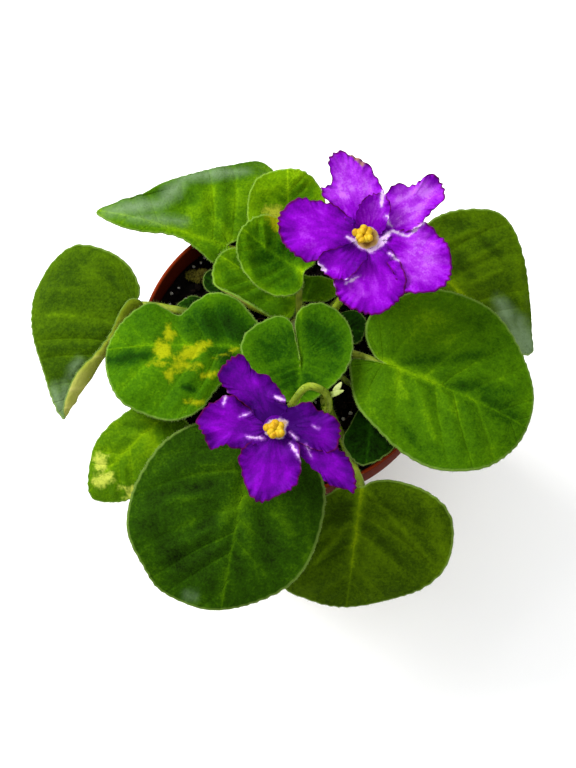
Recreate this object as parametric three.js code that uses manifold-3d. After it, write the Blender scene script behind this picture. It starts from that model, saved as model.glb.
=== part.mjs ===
// A potted African violet: a plastic nursery pot filled with peat mix, a short
// crown, sixteen leaves on their petioles and two ruffled violet blooms.
// Millimetres, +Z up. The origin is the middle of the pot's base, on the surface.
import * as THREE from 'three';
import { mergeVertices } from 'three/addons/utils/BufferGeometryUtils.js';
import Module from 'manifold-3d';

const wasm = await Module();
wasm.setup();

// Driving dimensions
const POT = {
  height: 75, rimRadius: 45, baseRadius: 30, wall: 1.2, lipDrop: 12, lipStep: 0.9, ledge: 1.4,
  floor: 1.2, sides: 36, drainCount: 6, drainRadius: 3, drainRing: 19,
};
const SOIL = { level: 66.3, bump: 0.5, grains: 8, grainRadius: 1.2, rings: 3, sides: 30 };
const CROWN = { x: 3, y: 4, radius: 4.2, bottom: 54, top: 83 };
const MOSS = { x: -28, y: 26, radius: 3.8, height: 1.6 };
const CLEARANCE = 0.3;
const BLADE = { middle: 1.3, margin: 0.8, tooth: 0.3 };
const PETIOLE = { radius: 1.45, sides: 6, lead: 8, steps: 7 };
const RIB = { radius: 0.75, sides: 4, drop: 0.65, reach: 0.6 };
const PETAL = { middle: 0.8, margin: 0.65, tooth: 0.35, rings: [[1, 28], [0.7, 14], [0.34, 7]] };
const STALK = { radius: 1.1, sides: 6, steps: 12 };
const LARGE_RINGS = [[1, 44], [0.76, 22], [0.4, 11]];
const SMALL_RINGS = [[1, 24], [0.6, 12]];
const CURLED_RINGS = [[1, 44], [0.8, 44], [0.56, 22], [0.3, 22]];

// Colours and finishes
const plastic = { color: 0x8a3f22, roughness: 0.42, metalness: 0 };
const peat = { color: 0x17110e, roughness: 0.95, metalness: 0 };
const crownGreen = { color: 0x6f7f35, roughness: 0.6, metalness: 0 };
const leafGreen = { color: 0x4f7d12, roughness: 0.55, metalness: 0 };
const petalViolet = { color: 0x8a0fd0, roughness: 0.6, metalness: 0 };
const antherYellow = { color: 0xe9b321, roughness: 0.5, metalness: 0 };
const stalkGreen = { color: 0x9fae3c, roughness: 0.6, metalness: 0 };

// The leaves. Each blade has its joint with the petiole at `at`, its midrib runs
// along `heading` (degrees, 0 towards +X) and rises by `pitch`. The outline is in the
// blade's own plane: u along the midrib, v to the left, from the sinus round the
// right side to the tip and back along the left.
// `cup` lifts the margin, `wave` ripples it, and each bend turns the blade out of
// its plane beyond `from` mm in the direction `toward` (degrees from the midrib).
const leaves = {
  left: {
    at: [-46, 12, 78], heading: -124, pitch: -8, rings: CURLED_RINGS, cup: -1,
    wave: [0.4, 5, 1], rise: 1.5, root: 74, lead: 2,
    outline: [[2, 0], [-3.5, -1], [-6.8, -4.4], [-9.3, -10], [-9.3, -17.5], [-6, -27], [1, -30.8], [8, -30.7],
      [15, -28.3], [24, -21], [32, -11], [37, -4.5], [40, 1.5], [38.5, 6.3], [33, 8.7], [26.5, 9.6],
      [19, 8.2], [12, 8], [5, 9.5], [0, 9], [-1, 5]],
    bends: [{ toward: 90, from: 0, radius: 2.6, turn: 150 }, { toward: -90, from: 14, radius: 30, turn: -20 }],
  },
  upper_left: {
    at: [-17, 30, 80], heading: 162, pitch: 2, rings: CURLED_RINGS, cup: 0,
    wave: [0.4, 4, 0], rise: 1, root: 75, lead: 5,
    outline: [[2, 0], [-4, -6], [-8, -17], [-8, -27], [-3, -34], [3, -37], [9.5, -29.5], [19, -20.3],
      [27, -13], [31.5, -7.7], [37, -3.8], [44.3, 0.3], [36, 3.5], [28, 3.7], [21, 2.3], [15, 2.2],
      [9, 4.2], [3.5, 6.3], [-2, 3]],
    bends: [{ toward: -90, from: 14, radius: 20, turn: -40 }, { toward: 90, from: 1, radius: 8, turn: -20 },
      { toward: 0, from: 26, radius: 34, turn: -20 }],
  },
  mottled: {
    at: [-9, -5, 88.6], heading: -180, pitch: -1, rings: LARGE_RINGS, cup: -1,
    wave: [1, 5, 2.2], rise: 1, root: 75, lead: 2.5,
    outline: [[2, 0], [0, -6], [3, -11], [7, -15], [13.5, -16.3], [19, -13.5], [23.3, -10], [27.5, -12],
      [32, -13.5], [38, -9.5], [42.3, -5], [44.8, 0.5], [44, 8], [39.7, 16.5], [32, 20.7], [24, 22.7], [17, 20],
      [13, 14], [10, 10.5], [4, 8], [0.5, 4]],
    bends: [{ toward: 0, from: 30, radius: 60, turn: -10 }],
  },
  top: {
    at: [0, 28, 90], heading: 92, pitch: 18, rings: LARGE_RINGS, cup: 1.5,
    wave: [0.6, 5, 0], via: [[1.5, 14, 72.5], [0.5, 23, 79]], root: 71,
    outline: [[1, 0], [-2, -6], [2, -10], [9, -11], [16, -9], [20, -5], [21, 0], [20, 6], [17, 10],
      [10, 12], [3, 11], [-2, 6]],
    bends: [],
  },
  crown_left: {
    at: [5, 16, 93], heading: 147, pitch: 13, rings: LARGE_RINGS, cup: 2.5, petiole: 1.2,
    wave: [0.3, 6, 0], rise: 0, root: 80, lead: 0.5, seat: 3,
    outline: [[1, 0], [0, -4], [4, -7], [10, -9], [16, -9], [21, -6], [23, 0], [21, 6], [16, 10],
      [10, 12], [4, 11], [0, 8], [-1, 4]],
    bends: [],
  },
  crown_back: {
    at: [4, 11.4, 80.8], heading: 150, pitch: 5, rings: CURLED_RINGS, cup: 1, petiole: 1.2,
    wave: [0.2, 6, 0], rise: 0, root: 77, lead: 2,
    outline: [[1, 0], [-5, -4], [-7, -9], [-3, -11], [4, -8], [12, -6], [21, -6], [27, -4], [29, 1],
      [27, 7], [21, 12], [13, 14], [6, 12], [1, 6]],
    bends: [{ toward: 90, from: 6, radius: 4, turn: 90 }],
  },
  heart: {
    at: [3, -10, 93], heading: -91, pitch: 3, rings: LARGE_RINGS, cup: 1.5, petiole: 1.2,
    wave: [0.3, 4, 0], via: [[3, -3.5, 80.5], [3, -9, 85]], root: 79, middle: [5, 0.8],
    outline: [[1, 0], [-6, -3], [-11, -4.8], [-12, -9], [-8, -15], [-2, -17], [4, -14], [10, -9], [15, 0],
      [10, 8], [4, 13], [-3, 15], [-10, 14], [-15, 10], [-17, 5], [-15, 0], [-11, -1.4], [-6, -1]],
    bends: [],
  },
  right_back: {
    at: [40, 24, 82], heading: -39, pitch: -7, rings: LARGE_RINGS, cup: 0,
    wave: [0.5, 5, 0], rise: 4, root: 73.5,
    outline: [[2, 0], [-2, -5], [5, -10], [15, -14], [26, -12], [35, -6], [43, 1.5], [38.5, 5.5],
      [33, 11.5], [27, 17], [21, 21.7], [14, 26.3], [8, 27.8], [3, 25.5], [-3.5, 18.5], [-6.7, 11],
      [-5, 4]],
    bends: [{ toward: 20, from: 26, radius: 18, turn: -45 }, { toward: -90, from: 3, radius: 9, turn: 45 }],
  },
  right: {
    at: [27, -10, 88], heading: -24.5, pitch: 0, rings: LARGE_RINGS, cup: -1,
    wave: [0.8, 6, 1], rise: 0, root: 72.5,
    outline: [[1, 0], [-5.5, -1.8], [-9, -3.2], [-7, -7], [-4, -12], [0, -16], [7, -19.5], [15, -22.3],
      [26, -23.3], [35, -20], [41.4, -14], [45.7, -4.2], [44.5, 7], [39.5, 16], [31, 23.5], [21, 28.3],
      [9.5, 29], [1, 25.5], [-6, 17.5], [-9.3, 11.5], [-7.5, 5.5], [-2.5, 0.8]],
    bends: [{ toward: 0, from: 26, radius: 60, turn: -20 }],
  },
  front_left: {
    at: [-11, -36, 86], heading: -101, pitch: -10, rings: LARGE_RINGS, cup: -1,
    wave: [0.9, 6, 0.5], rise: 2, root: 72,
    outline: [[2, 0], [-4, -4], [-7, -10], [-5, -17], [1, -24], [9, -28.5], [19, -31.3], [29.2, -30.3],
      [38, -24.3], [44.5, -18.5], [47, -9], [46.7, -1], [43.5, 8], [38, 15.8], [31, 21], [22, 23.3], [10, 23.3],
      [2, 20], [-4, 14], [-5, 6]],
    bends: [{ toward: 0, from: 24, radius: 50, turn: -20 }],
  },
  front_right: {
    at: [21, -44, 79], heading: -98, pitch: -24, rings: LARGE_RINGS, cup: -1,
    wave: [0.7, 5, 0], via: [[9, -13, 74], [15, -28, 75.6], [18.5, -38, 77.2]], root: 73,
    outline: [[1, 0], [1, -5], [7, -12], [15, -17], [25, -19.5], [33.7, -18.2], [36.5, -11], [37, -4],
      [35.3, 5], [32, 14], [27.4, 21.4], [20.3, 26.9], [11, 27.8], [4, 25], [-0.5, 18], [-2, 9], [-1, 3]],
    bends: [{ toward: 0, from: 20, radius: 50, turn: -20 }],
  },
  lower_left: {
    at: [-35, -22, 80], heading: -140, pitch: -20, rings: LARGE_RINGS, cup: -1,
    wave: [0.5, 5, 0], rise: 1, root: 71, lead: 5,
    outline: [[1, 0], [0, -5], [4, -7.5], [9, -8.8], [17, -9.3], [25, -8], [32, -3.2], [35.4, 1.7],
      [32, 6.7], [25.5, 11], [16, 13], [6, 12], [-1, 8], [-1, 3]],
    bends: [{ toward: 0, from: 18, radius: 40, turn: -20 }],
  },
  inner_front: {
    at: [24.2, -21, 79.5], heading: -97, pitch: 0, rings: SMALL_RINGS, cup: 0.8, petiole: 1,
    wave: [0.3, 4, 0], rise: 0, root: 70, lead: 3,
    outline: [[1, 0], [0, -3], [5, -5.5], [10.5, -7.3], [14, -5.9], [17.4, -2], [16.8, 1.2], [14.9, 4.2],
      [10, 7.8], [5, 6.5], [1, 4]],
    bends: [],
  },
  inner_left: {
    at: [-24, 10, 70.5], heading: 150, pitch: 0, rings: SMALL_RINGS, cup: 0.4, petiole: 1,
    wave: [0.2, 4, 0], rise: 0, root: 70, lead: 3,
    outline: [[1, 0], [0, -4], [5, -5], [9, -4], [11, 0], [10, 4], [6, 5], [1, 4]],
    bends: [],
  },
  inner_back: {
    at: [-15, 18, 74], heading: 155, pitch: -2, rings: SMALL_RINGS, cup: 0.4, petiole: 1,
    wave: [0.2, 4, 0], rise: 0, root: 72, lead: 3,
    outline: [[1, 0], [0, -4], [5, -6], [9, -5], [12, -1], [10, 3], [5, 4], [1, 3]],
    bends: [],
  },
  inner_right: {
    at: [13, 6, 77], heading: -19, pitch: 15, rings: SMALL_RINGS, cup: 0.6, petiole: 1,
    wave: [0.2, 4, 0], rise: 0, root: 70, lead: 2,
    outline: [[1, 0], [1, -4], [5, -5], [9, -4], [10, 0], [9, 4], [5, 6], [1, 4]],
    bends: [],
  },
};

// The blooms. Each petal's outline is in the bloom's own plane, x to the right and
// y to the back, from the throat. `layer` lifts a petal over its neighbours, `curl`
// lifts its rim and `ruffle` is [height, ripples round it, phase].
const blooms = {
  lower: {
    at: [-4, -36, 106], tilt: 12, root: 77, anthers: [0, -1],
    bracts: [[13, -25, 103.5, 10, 2.6], [13.5, -23.5, 104, 50, 2]],
    stalk: [[9, -6, 81], [10, -23, 88], [11, -27, 97], [10, -25, 104], [5, -24, 106.5], [0, -29, 103.5],
      [-3, -31.5, 100.2]],
    petals: {
      upper_left: {
        layer: 0.4, curl: 1.2, ruffle: [1.1, 6, 0],
        outline: [[3, 4], [3, 7], [1, 11], [-2, 14], [-6, 16], [-9, 20], [-13, 19], [-16, 15], [-15, 12],
          [-12, 9], [-7, 5], [-3, 1], [1, 0]],
      },
      left: {
        layer: -0.6, curl: 0.6, ruffle: [1.2, 7, 1],
        outline: [[-4, 4], [-8, 6], [-12, 9], [-16, 8], [-19, 6], [-22, 2], [-20, -2], [-18, -6], [-14, -5],
          [-10, -6], [-6, -5], [-1, -3], [1, 1]],
      },
      bottom: {
        layer: 1.1, curl: 0.8, ruffle: [0.9, 5, 2],
        outline: [[-2, -1], [-7, -4], [-10, -8], [-9, -14], [-7, -19], [-4, -21], [1, -19], [5, -17], [7, -13],
          [7, -9], [6, -4], [3, 0]],
      },
      lower_right: {
        layer: -0.2, curl: 0.4, ruffle: [0.8, 5, 0],
        outline: [[2, -3], [6, -7], [11, -12], [15, -16], [19, -17], [22, -18], [22, -13], [20, -8], [15, -4],
          [10, -1], [4, 1], [0, 0]],
      },
      upper_right: {
        layer: 0.8, curl: 0.6, ruffle: [1, 6, 1],
        outline: [[2, -2], [8, -5], [13, -7], [17, -6], [18, 0], [16, 3], [12, 5], [9, 7], [5, 6], [2, 4],
          [0, 1]],
      },
    },
  },
  upper: {
    at: [22, 19, 112], tilt: 14, root: 77.5, anthers: [-1, 0.3], bracts: [],
    stalk: [[9, 5, 80], [15, 9, 90], [20, 15, 100]],
    petals: {
      top: {
        layer: -0.4, curl: 1.5, ruffle: [0.9, 5, 0],
        outline: [[4, 6], [5, 12], [3, 17], [0, 21], [-5, 24], [-8, 25], [-11, 22], [-10, 16], [-13, 14],
          [-12, 11], [-7, 6], [-2, 1], [2, 1]],
      },
      upper_right: {
        layer: 0.3, curl: 1.4, ruffle: [1.1, 6, 1],
        outline: [[4, -1], [10, 1], [15, 3], [18, 7], [22, 11], [21, 16], [18, 18], [13, 15], [8, 15],
          [5, 12], [2, 7], [1, 1]],
      },
      lower_right: {
        layer: 0.9, curl: 0.8, ruffle: [1.1, 7, 2],
        outline: [[1, -3], [5, -7], [8, -12], [11, -16], [17, -16], [22, -14], [24, -9], [23, -3], [20, 1],
          [16, 4], [10, 2], [4, 2], [0, 1]],
      },
      bottom: {
        layer: 1.6, curl: 0.6, ruffle: [1, 6, 0],
        outline: [[-2, 0], [-6, -5], [-9, -10], [-9, -16], [-6, -20], [-1, -22], [4, -22], [9, -18], [11, -13],
          [9, -7], [6, -3], [2, 1]],
      },
      left: {
        layer: 0.2, curl: 0.8, ruffle: [1, 7, 1],
        outline: [[-1, 3], [-5, 6], [-9, 9], [-14, 10.5], [-20, 11], [-24.7, 7], [-25, 1], [-22, -4], [-17, -7],
          [-12, -6], [-7, -4], [-2, -3], [1, 0]],
      },
      curl: {
        layer: 2.4, curl: 2, ruffle: [1.2, 4, 0],
        outline: [[-2, -1], [-7, -3], [-11, -4], [-14, -7], [-12, -11], [-8, -13], [-4, -11], [0, -6]],
      },
      crest: {
        layer: 2.6, curl: 2.4, ruffle: [0.8, 4, 1],
        outline: [[4, 1], [6, 5], [6, 9], [4, 12], [0, 11], [-3, 7], [-3, 2], [0, 0]],
      },
    },
  },
};

// Helpers for solids

const radians = (degrees) => THREE.MathUtils.degToRad(degrees);

function toSolid(geometry) {
  const bare = geometry.clone();
  bare.deleteAttribute('normal');
  bare.deleteAttribute('uv');
  const merged = mergeVertices(bare, 1e-4);
  return new wasm.Manifold(new wasm.Mesh({
    numProp: 3,
    vertProperties: new Float32Array(merged.attributes.position.array),
    triVerts: new Uint32Array(merged.index.array),
  }));
}

function toGeometry(solid) {
  const mesh = solid.getMesh();
  const geometry = new THREE.BufferGeometry();
  geometry.setAttribute('position', new THREE.BufferAttribute(mesh.vertProperties, 3));
  geometry.setIndex(new THREE.BufferAttribute(mesh.triVerts, 1));
  geometry.computeVertexNormals();
  return geometry;
}

function joinAll(solids) {
  return solids.reduce((whole, piece) => whole.add(piece));
}

// The main body, without any loose scrap that a join or cut leaves
function mainBody(solid) {
  return solid.decompose().reduce((best, piece) => (piece.volume() > best.volume() ? piece : best));
}

function lathe(profile, sides) {
  const points = profile.map(([r, z]) => new THREE.Vector2(r, z));
  return new THREE.LatheGeometry(points, sides).rotateX(Math.PI / 2);
}

// A round rod of constant radius along a smooth curve through the points
function rod(points, radius, sides, steps) {
  const section = new THREE.Shape();
  for (let k = 0; k < sides; k += 1) {
    const angle = (2 * Math.PI * k) / sides;
    section[k ? 'lineTo' : 'moveTo'](radius * Math.cos(angle), radius * Math.sin(angle));
  }
  section.closePath();
  const path = new THREE.CatmullRomCurve3(points, false, 'centripetal');
  return toSolid(new THREE.ExtrudeGeometry(section, { extrudePath: path, steps, bevelEnabled: false }));
}

function lump(x, y, z, rx, ry, rz, across = 8, down = 6) {
  const ball = new THREE.SphereGeometry(1, across, down);
  return toSolid(ball.scale(rx, ry, rz).translate(x, y, z));
}

// Blades: leaves and petals

// Evenly spaced points on the smooth closed outline, toothed by turns
function margin(outline, count, tooth) {
  const curve = new THREE.CatmullRomCurve3(
    outline.map(([u, v]) => new THREE.Vector3(u, v, 0)), true, 'catmullrom', 0.5,
  );
  curve.arcLengthDivisions = 1200;
  const even = curve.getSpacedPoints(count).slice(0, count);
  return even.map((point, k) => {
    const next = even[(k + 1) % count];
    const last = even[(k + count - 1) % count];
    const along = next.clone().sub(last).normalize();
    const side = (k % 2 ? -tooth : tooth) * THREE.MathUtils.smoothstep(point.length(), 2, 7);
    return new THREE.Vector3(point.x + along.y * side, point.y - along.x * side, 0);
  });
}

function middleOf({ outline, middle }) {
  if (middle) return new THREE.Vector2(...middle);
  const box = new THREE.Box2().setFromPoints(outline.map(([u, v]) => new THREE.Vector2(u, v)));
  return box.getCenter(new THREE.Vector2());
}

// Rings of points from the margin to the middle, each ring as many as the one
// outside it or half as many, then the middle point itself
function bladeRings(blade, rings, tooth, place) {
  const edge = margin(blade.outline, rings[0][1], tooth);
  const middle = middleOf(blade);
  const points = [];
  rings.forEach(([share, count]) => {
    const stride = edge.length / count;
    for (let k = 0; k < count; k += 1) {
      const rim = edge[k * stride];
      const u = middle.x + share * (rim.x - middle.x);
      const v = middle.y + share * (rim.y - middle.y);
      points.push(place(u, v, share, (2 * Math.PI * k) / count));
    }
  });
  points.push(place(middle.x, middle.y, 0, 0));
  return points;
}

function bladeTriangles(rings) {
  const triangles = [];
  let outer = 0;
  for (let r = 0; r + 1 < rings.length; r += 1) {
    const many = rings[r][1];
    const few = rings[r + 1][1];
    const inner = outer + many;
    const stride = many / few;
    for (let k = 0; k < few; k += 1) {
      const a = outer + k * stride;
      const b = stride === 2 ? a + 1 : null;
      const c = outer + ((k + 1) * stride) % many;
      const d = inner + k;
      const e = inner + ((k + 1) % few);
      if (b === null) triangles.push([a, c, d], [c, e, d]);
      else triangles.push([a, b, d], [b, e, d], [b, c, e]);
    }
    outer = inner;
  }
  const last = rings[rings.length - 1][1];
  for (let k = 0; k < last; k += 1) triangles.push([outer + k, outer + ((k + 1) % last), outer + last]);
  return triangles;
}

// A closed blade: the same triangles above and below the middle surface
function bladeSolid(blade, rings, thickness, place) {
  const points = bladeRings(blade, rings, thickness.tooth, place);
  const triangles = bladeTriangles(rings);
  const normals = points.map(() => new THREE.Vector3());
  triangles.forEach(([a, b, c]) => {
    const normal = points[b].clone().sub(points[a]).cross(points[c].clone().sub(points[a]));
    [a, b, c].forEach((k) => normals[k].add(normal));
  });
  const shares = rings.flatMap(([share, count]) => Array(count).fill(share)).concat(0);
  const half = points.map((point, k) => {
    const depth = THREE.MathUtils.lerp(thickness.middle, thickness.margin, shares[k] ** 2) / 2;
    return normals[k].normalize().multiplyScalar(depth);
  });
  const above = points.map((point, k) => point.clone().add(half[k]));
  const below = points.map((point, k) => point.clone().sub(half[k]));
  const n = points.length;
  const rim = rings[0][1];
  const index = [];
  triangles.forEach(([a, b, c]) => index.push(a, b, c, n + a, n + c, n + b));
  for (let k = 0; k < rim; k += 1) {
    const next = (k + 1) % rim;
    index.push(k, n + k, next, next, n + k, n + next);
  }
  const geometry = new THREE.BufferGeometry().setFromPoints([...above, ...below]);
  geometry.setIndex(index);
  return toSolid(geometry);
}

// Turns what lies beyond a line across the blade out of its plane, up or down
function bend(point, { toward, from, radius, turn }) {
  const ahead = new THREE.Vector2(Math.cos(radians(toward)), Math.sin(radians(toward)));
  const past = point.x * ahead.x + point.y * ahead.y - from;
  if (past <= 0) return point;
  const way = Math.sign(turn);
  const full = radians(Math.abs(turn));
  const angle = Math.min(past / radius, full);
  const spare = past - angle * radius;
  const arm = radius - way * point.z;
  const reach = arm * Math.sin(angle) + spare * Math.cos(angle) - past;
  const lift = radius - arm * Math.cos(angle) + spare * Math.sin(angle);
  return new THREE.Vector3(point.x + ahead.x * reach, point.y + ahead.y * reach, way * lift);
}

function leafFrame({ at, heading, pitch }) {
  const frame = new THREE.Matrix4().makeTranslation(...at);
  frame.multiply(new THREE.Matrix4().makeRotationZ(radians(heading)));
  return frame.multiply(new THREE.Matrix4().makeRotationY(radians(-pitch)));
}

// Where a point of the blade lies: share is 0 in the middle and 1 at the margin
function leafPlace(leaf) {
  const frame = leafFrame(leaf);
  const [height, ripples, phase] = leaf.wave;
  return (u, v, share, angle, sunk = 0) => {
    const bowl = leaf.cup * (share ** 2 - 1);
    const ripple = height * share ** 3 * Math.sin(ripples * angle + phase);
    const flat = new THREE.Vector3(u, v, bowl + ripple - sunk);
    return leaf.bends.reduce(bend, flat).applyMatrix4(frame);
  };
}

function midribPoint(leaf, u, sunk) {
  const middle = middleOf(leaf);
  const share = Math.min(1, Math.abs(u - middle.x) / middle.x);
  return leafPlace(leaf)(u, 0, share, 0, sunk);
}

// The petiole leaves the crown, arches by the leaf's rise and meets the blade along
// its midrib
function petiolePath(leaf, radius) {
  const seat = leaf.seat ?? 1.5;
  const root = new THREE.Vector3(CROWN.x, CROWN.y, leaf.root);
  const joint = midribPoint(leaf, seat, radius);
  const inner = midribPoint(leaf, seat + 3, radius * 0.8);
  if (leaf.via) return [root, ...leaf.via.map((p) => new THREE.Vector3(...p)), joint, inner];
  const back = joint.clone().sub(inner).normalize();
  const approach = joint.clone().add(back.multiplyScalar(leaf.lead ?? PETIOLE.lead));
  const halfway = root.clone().lerp(approach, 0.5);
  halfway.z += leaf.rise;
  return [root, halfway, approach, joint, inner];
}

function makeLeaf(leaf) {
  const blade = bladeSolid(leaf, leaf.rings, BLADE, leafPlace(leaf));
  const radius = leaf.petiole ?? PETIOLE.radius;
  const petiole = rod(petiolePath(leaf, radius), radius, PETIOLE.sides, PETIOLE.steps);
  const length = Math.max(...leaf.outline.map(([u]) => u));
  const ribPath = [0.1, 0.4, 0.7, 1].map((share) => midribPoint(leaf, share * RIB.reach * length, RIB.drop));
  const rib = rod(ribPath, RIB.radius, RIB.sides, 4);
  return joinAll([blade, petiole, rib]).subtract(crownRoom);
}

// Pot, soil and crown

// The lip band stands out from the tapered wall and has a ledge inside at its foot
const lipFoot = POT.height - POT.lipDrop;
const ledgeLevel = lipFoot + 0.8 * POT.wall;
const neckRadius = THREE.MathUtils.mapLinear(
  lipFoot, 0, POT.height, POT.baseRadius, POT.rimRadius - POT.lipStep,
) - POT.ledge;
const lipRadius = POT.rimRadius - POT.wall - 0.2;

function makePot() {
  const { height, rimRadius, baseRadius, wall, ledge, floor } = POT;
  const round = 0.5;
  const profile = [
    [0, 0], [baseRadius - round, 0], [baseRadius, round],
    [neckRadius, lipFoot], [rimRadius - ledge * 0.4, lipFoot + round],
    [rimRadius, height - round], [rimRadius - round, height], [rimRadius - wall, height - round],
    [lipRadius, ledgeLevel + round], [neckRadius - wall, ledgeLevel], [baseRadius - wall, floor], [0, floor],
  ];
  let pot = toSolid(lathe(profile, POT.sides));
  for (let k = 0; k < POT.drainCount; k += 1) {
    const angle = (2 * Math.PI * (k + 0.5)) / POT.drainCount;
    const drill = new THREE.CylinderGeometry(POT.drainRadius, POT.drainRadius, 4 * floor, 12);
    drill.rotateX(Math.PI / 2);
    drill.translate(POT.drainRing * Math.cos(angle), POT.drainRing * Math.sin(angle), 0);
    pot = pot.subtract(toSolid(drill));
  }
  return pot;
}

// A seeded draw, the same every time
function drawer(seed) {
  let state = seed;
  return () => {
    state = (state * 16807) % 2147483647;
    return state / 2147483647;
  };
}

function soilHeight(x, y) {
  const clods = Math.sin(x * 0.31 + 1) * Math.sin(y * 0.37 + 2) + 0.6 * Math.sin(x * 0.9) * Math.sin(y * 0.8);
  const mound = 1.5 * Math.exp(-((x - CROWN.x) ** 2 + (y - CROWN.y) ** 2) / 250);
  return SOIL.level + mound + SOIL.bump * clods;
}

function makeSoil() {
  const bottom = POT.floor + CLEARANCE;
  const side = CLEARANCE + 0.15;
  const outer = lipRadius - side;
  const profile = [
    [0, bottom], [POT.baseRadius - POT.wall - side, bottom],
    [neckRadius - POT.wall - side, ledgeLevel + CLEARANCE], [outer, ledgeLevel + 0.5 + CLEARANCE],
  ];
  for (let r = SOIL.rings; r >= 0; r -= 1) profile.push([(outer * r) / SOIL.rings, SOIL.level]);
  const body = lathe(profile, SOIL.sides);
  const spots = body.attributes.position;
  for (let k = 0; k < spots.count; k += 1) {
    if (spots.getZ(k) > SOIL.level - 0.01) spots.setZ(k, soilHeight(spots.getX(k), spots.getY(k)));
  }
  const draw = drawer(41);
  const grains = [];
  for (let k = 0; k < SOIL.grains; k += 1) {
    const angle = 2 * Math.PI * draw();
    const reach = outer * (0.3 + 0.5 * draw());
    const size = SOIL.grainRadius * (0.6 + 0.5 * draw());
    const [x, y] = [reach * Math.cos(angle), reach * Math.sin(angle)];
    grains.push(lump(x, y, soilHeight(x, y), size, size, size, 5, 4));
  }
  const mossLevel = soilHeight(MOSS.x, MOSS.y) + 0.3 * MOSS.height;
  const cushion = lump(MOSS.x, MOSS.y, mossLevel, MOSS.radius, MOSS.radius * 0.7, MOSS.height);
  const hole = new THREE.CylinderGeometry(CROWN.radius + CLEARANCE, CROWN.radius + CLEARANCE, 60, 16);
  hole.rotateX(Math.PI / 2).translate(CROWN.x, CROWN.y, CROWN.bottom + 30 - CLEARANCE);
  return joinAll([toSolid(body), ...grains, cushion]).subtract(toSolid(hole));
}

function crownBody(extra) {
  const r = CROWN.radius + extra;
  const profile = [
    [0, CROWN.bottom - extra], [r, CROWN.bottom - extra], [r, CROWN.top - 5], [r * 0.8, CROWN.top - 2],
    [r * 0.4, CROWN.top + extra], [0, CROWN.top + extra],
  ];
  return toSolid(lathe(profile, 16).translate(CROWN.x, CROWN.y, 0));
}

const crownRoom = crownBody(CLEARANCE * 1.4);

function makeCrown() {
  return crownBody(0);
}

// Blooms

function bloomFrame({ at, tilt }) {
  const frame = new THREE.Matrix4().makeTranslation(...at);
  return frame.multiply(new THREE.Matrix4().makeRotationX(radians(tilt)));
}

function petalPlace(bloom, petal) {
  const frame = bloomFrame(bloom);
  const [height, ripples, phase] = petal.ruffle;
  return (u, v, share, angle) => {
    const free = THREE.MathUtils.smoothstep(Math.hypot(u, v), 2, 9);
    const ripple = height * Math.sin(ripples * angle + phase);
    const w = free * (petal.layer + share ** 3 * (petal.curl + ripple));
    return new THREE.Vector3(u, v, w).applyMatrix4(frame);
  };
}

function makePetals(bloom) {
  const petals = Object.values(bloom.petals).map((petal) => bladeSolid(
    petal, PETAL.rings, PETAL, petalPlace(bloom, petal),
  ));
  const tube = lathe([[0, -4], [1.8, -4], [3.6, -0.4], [3.4, 0.5], [0, 0.5]], 14);
  return joinAll([toSolid(tube.applyMatrix4(bloomFrame(bloom))), ...petals]);
}

function makeAnthers(bloom) {
  const [shiftX, shiftY] = bloom.anthers;
  const filament = new THREE.CylinderGeometry(0.8, 0.8, 1.4, 6);
  filament.rotateX(Math.PI / 2).translate(0, 0, 1.6);
  const pieces = [toSolid(filament)];
  const sacs = [[-1.9, 0.7, 2.6], [-0.2, 1.5, 2.9], [-0.9, -1, 3.1], [1.1, -0.9, 2.8], [1.2, 0.9, 2.5]];
  sacs.forEach(([x, y, z]) => pieces.push(lump(x + shiftX, y + shiftY, z, 1.6, 1.4, 1.2, 6, 4)));
  return joinAll(pieces).transform(bloomFrame(bloom).elements);
}

function makeStalk(bloom) {
  const frame = bloomFrame(bloom);
  const root = new THREE.Vector3(CROWN.x, CROWN.y, bloom.root);
  const seat = new THREE.Vector3(0, 0, -5.5).applyMatrix4(frame);
  const path = [root, ...bloom.stalk.map((p) => new THREE.Vector3(...p)), seat];
  const pieces = [rod(path, STALK.radius, STALK.sides, STALK.steps)];
  const calyx = lathe([[0, -6.6], [1.4, -6.2], [2.1, -5], [1.9, -4.3], [0, -4.3]], 12);
  pieces.push(toSolid(calyx.applyMatrix4(frame)));
  for (let k = 0; k < 5; k += 1) {
    const sepal = new THREE.SphereGeometry(1, 5, 4).scale(0.9, 0.5, 2.4);
    sepal.rotateX(radians(55)).translate(0, -3.2, -4.1).rotateZ((2 * Math.PI * k) / 5);
    pieces.push(toSolid(sepal.applyMatrix4(frame)));
  }
  bloom.bracts.forEach(([x, y, z, heading, length]) => {
    const bract = new THREE.SphereGeometry(1, 6, 5).scale(length, 1.1, 0.5);
    bract.rotateY(radians(-20)).rotateZ(radians(heading)).translate(x, y, z);
    pieces.push(toSolid(bract));
  });
  return joinAll(pieces).subtract(crownRoom);
}

// The whole plant

const plant = new THREE.Group();

function addPiece(name, solid, finish) {
  const mesh = new THREE.Mesh(toGeometry(mainBody(solid)), new THREE.MeshStandardMaterial(finish));
  mesh.name = name;
  plant.add(mesh);
}

addPiece('pot', makePot(), plastic);
addPiece('soil', makeSoil(), peat);
addPiece('crown', makeCrown(), crownGreen);
Object.entries(leaves).forEach(([name, leaf]) => addPiece(`leaf_${name}`, makeLeaf(leaf), leafGreen));
Object.entries(blooms).forEach(([name, bloom]) => {
  addPiece(`${name}_bloom_petals`, makePetals(bloom), petalViolet);
  addPiece(`${name}_bloom_anthers`, makeAnthers(bloom), antherYellow);
  addPiece(`${name}_bloom_stalk`, makeStalk(bloom), stalkGreen);
});

export default plant;
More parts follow.
